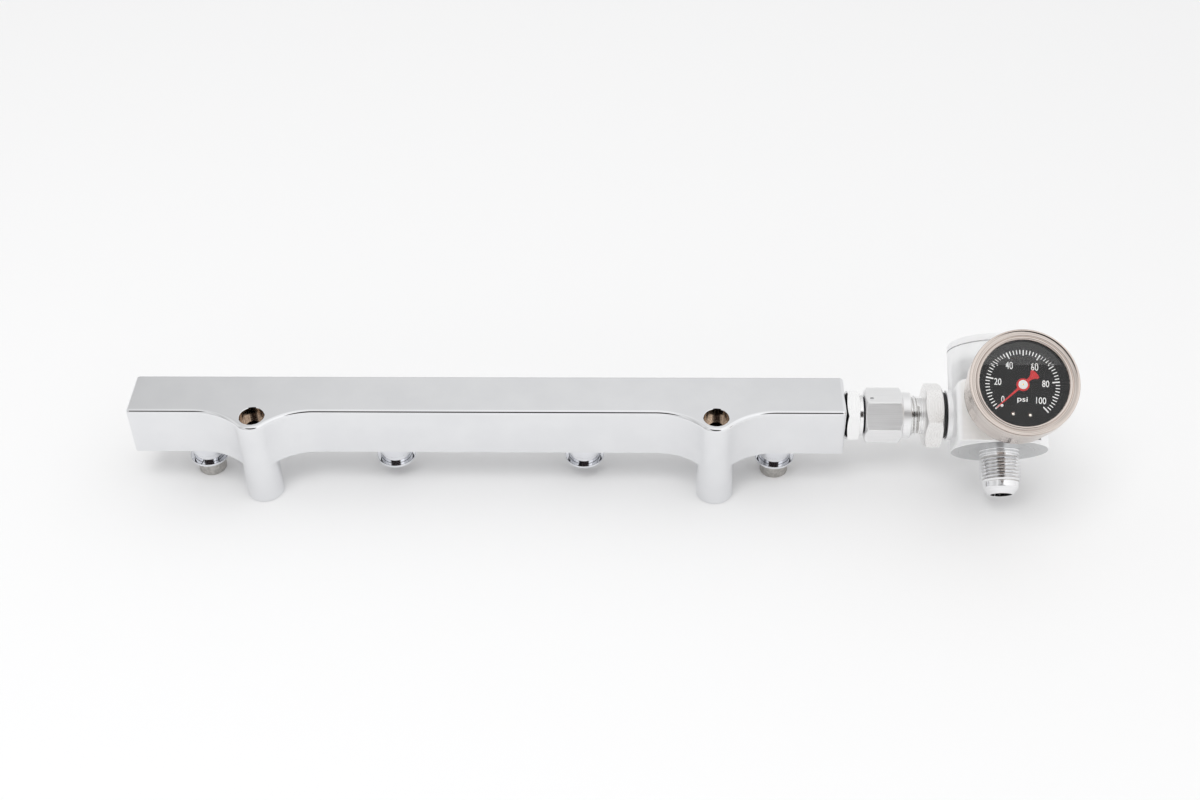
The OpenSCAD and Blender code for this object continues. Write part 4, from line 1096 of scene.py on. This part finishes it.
BRASS_HEAD = metal("brass_heads", ((0.93, 0.86, 0.76), (0.97, 0.93, 0.86)), (0.07, 0.14), scale=300)
hand = pointer()
top = POINTER_Z + POINTER_H
pin = soften([(0, top + 0.4), (0.42, top + 0.4), (0.42, top + 0.58), (0, top + 0.62)], 0.1)
dome = np.radians(np.linspace(0, 90, 7))
dome = np.stack([1.15 * np.cos(dome), DIAL_TOP + 0.75 * np.sin(dome)], -1)
head = [(0, DIAL_TOP - 0.1), (1.15, DIAL_TOP - 0.1), *dome]
screws = [GAUGE.moved(x, -13.1) for x in (-3.65, 3.65)]
way = math.radians(ZERO + 3.8)
stop = GAUGE.moved(13 * math.cos(way), 13 * math.sin(way))
small = [
    ("hub_cap_white", disc(2, top - 0.05, top + 0.5, 0.3), 96, [HAND], GLOWING_WHITE, None, "pointer", "pin_white"),
    ("hub_pin_brass", pin, 32, [HAND], BRASS, None, "pointer"),
    ("dial_screw_heads", head, 32, screws, BRASS_HEAD, "dial_screws", "root", "brass"),
    ("stop_pin_round", disc(0.55, DIAL_TOP - 0.5, POINTER_Z + 0.1, 0.15), 24, [stop], GLOWING_INK, "stop_pin")]
for name, profile, count, places, *rest in small:
    make(name, [revolve(profile, place, around(0, count)) for place in places], *rest)
print(hand.name, len(hand.data.polygons), "faces, and", len(small), "small turned pieces")

# %% [markdown]
# The gauge is filled with glycerine, whose level surface meets the window in
# front of the numbers 40 and 60, and the leaning dial further up. Glycerine and
# acrylic bend light alike, so window and liquid are one clear body. It lifts the
# dial towards the eye. Above the level, where air is behind the window, the print
# isn't lifted.

# %% Lens


def clear(name):
    """Clear acrylic and glycerine: full transmission, smooth, index 1.47."""
    material, tree, shader = blank(name)
    shader.inputs["Base Color"].default_value = (1, 1, 1, 1)
    shader.inputs["Transmission Weight"].default_value = 1.0
    shader.inputs["IOR"].default_value = 1.47
    noise = tree.nodes.new("ShaderNodeTexNoise")
    noise.inputs["Scale"].default_value = 120
    tree.links.new(marks(tree, "even", GAUGE), noise.inputs["Vector"])
    tree.links.new(ramp(tree, noise.outputs[0], [(0.55, 0.0), (0.9, 0.01)]), shader.inputs["Roughness"])
    return material


def window():
    """Lens and liquid as one closed surface, as a function of the direction t and the row.
    The liquid's surface is level, so it cuts the disc along a slanted plane: at height z
    the rim lies at (y0 + (60.5 - z) / tan(tilt)) / sin(t), or at the disc's own rim. In the
    last 0.6 mm under the lens the liquid climbs it on a quarter of a circle."""
    angles = around(0, 180)
    t = np.radians(angles)
    inside = WINDOW_R + 0.15
    climb = [(inside, LENS_LOW - depth) for depth in (CLIMB, 0.42, 0.27, 0.14, 0.05)]
    rows = [(0, DIAL_TOP - 0.3), (20.25, DIAL_TOP - 0.3), (20.25, 59.05), (inside, 59.05), *climb,
            (inside, LENS_LOW), (inside, LENS_LOW), (WINDOW_R + 1.5, LENS_LOW), (WINDOW_R + 1.5, LENS_TOP),
            (0, LENS_TOP)]
    r, z = (column[:, None] + 0 * t for column in np.array(rows).T)
    near = np.clip(1 - (LENS_LOW - z) / CLIMB, 0, 1)
    line = LEVEL + (LENS_LOW - z) / math.tan(TILT) + CLIMB * (1 - np.sqrt(1 - near * near))
    level = np.where(np.sin(t) > 0.05, line / np.maximum(np.sin(t), 0.05), 99)
    r = np.where(np.arange(len(rows))[:, None] < 5 + len(climb), np.minimum(r, level), r)
    return sweep(r, z, angles, BLOCK)


LEVEL, CLIMB = 7.9, 0.6
LENS = clear("clear_lens")
lens = make("gauge_lens_and_liquid", [window()], LENS, "gauge_lens")
print(lens.name, len(lens.data.polygons), "faces")

# %% [markdown]
# What the frame already draws well stays: the gauge's stem and filling plug, and
# the parts inside housing and gauge. They have their finish already, because a
# material above with one of the frame's own names fills that material in.

# %% Pieces that stay as the frame draws them
kept = [name for name, node in nodes.items() if not node.hide_render]
print(len(kept), "pieces stay:", ", ".join(kept))
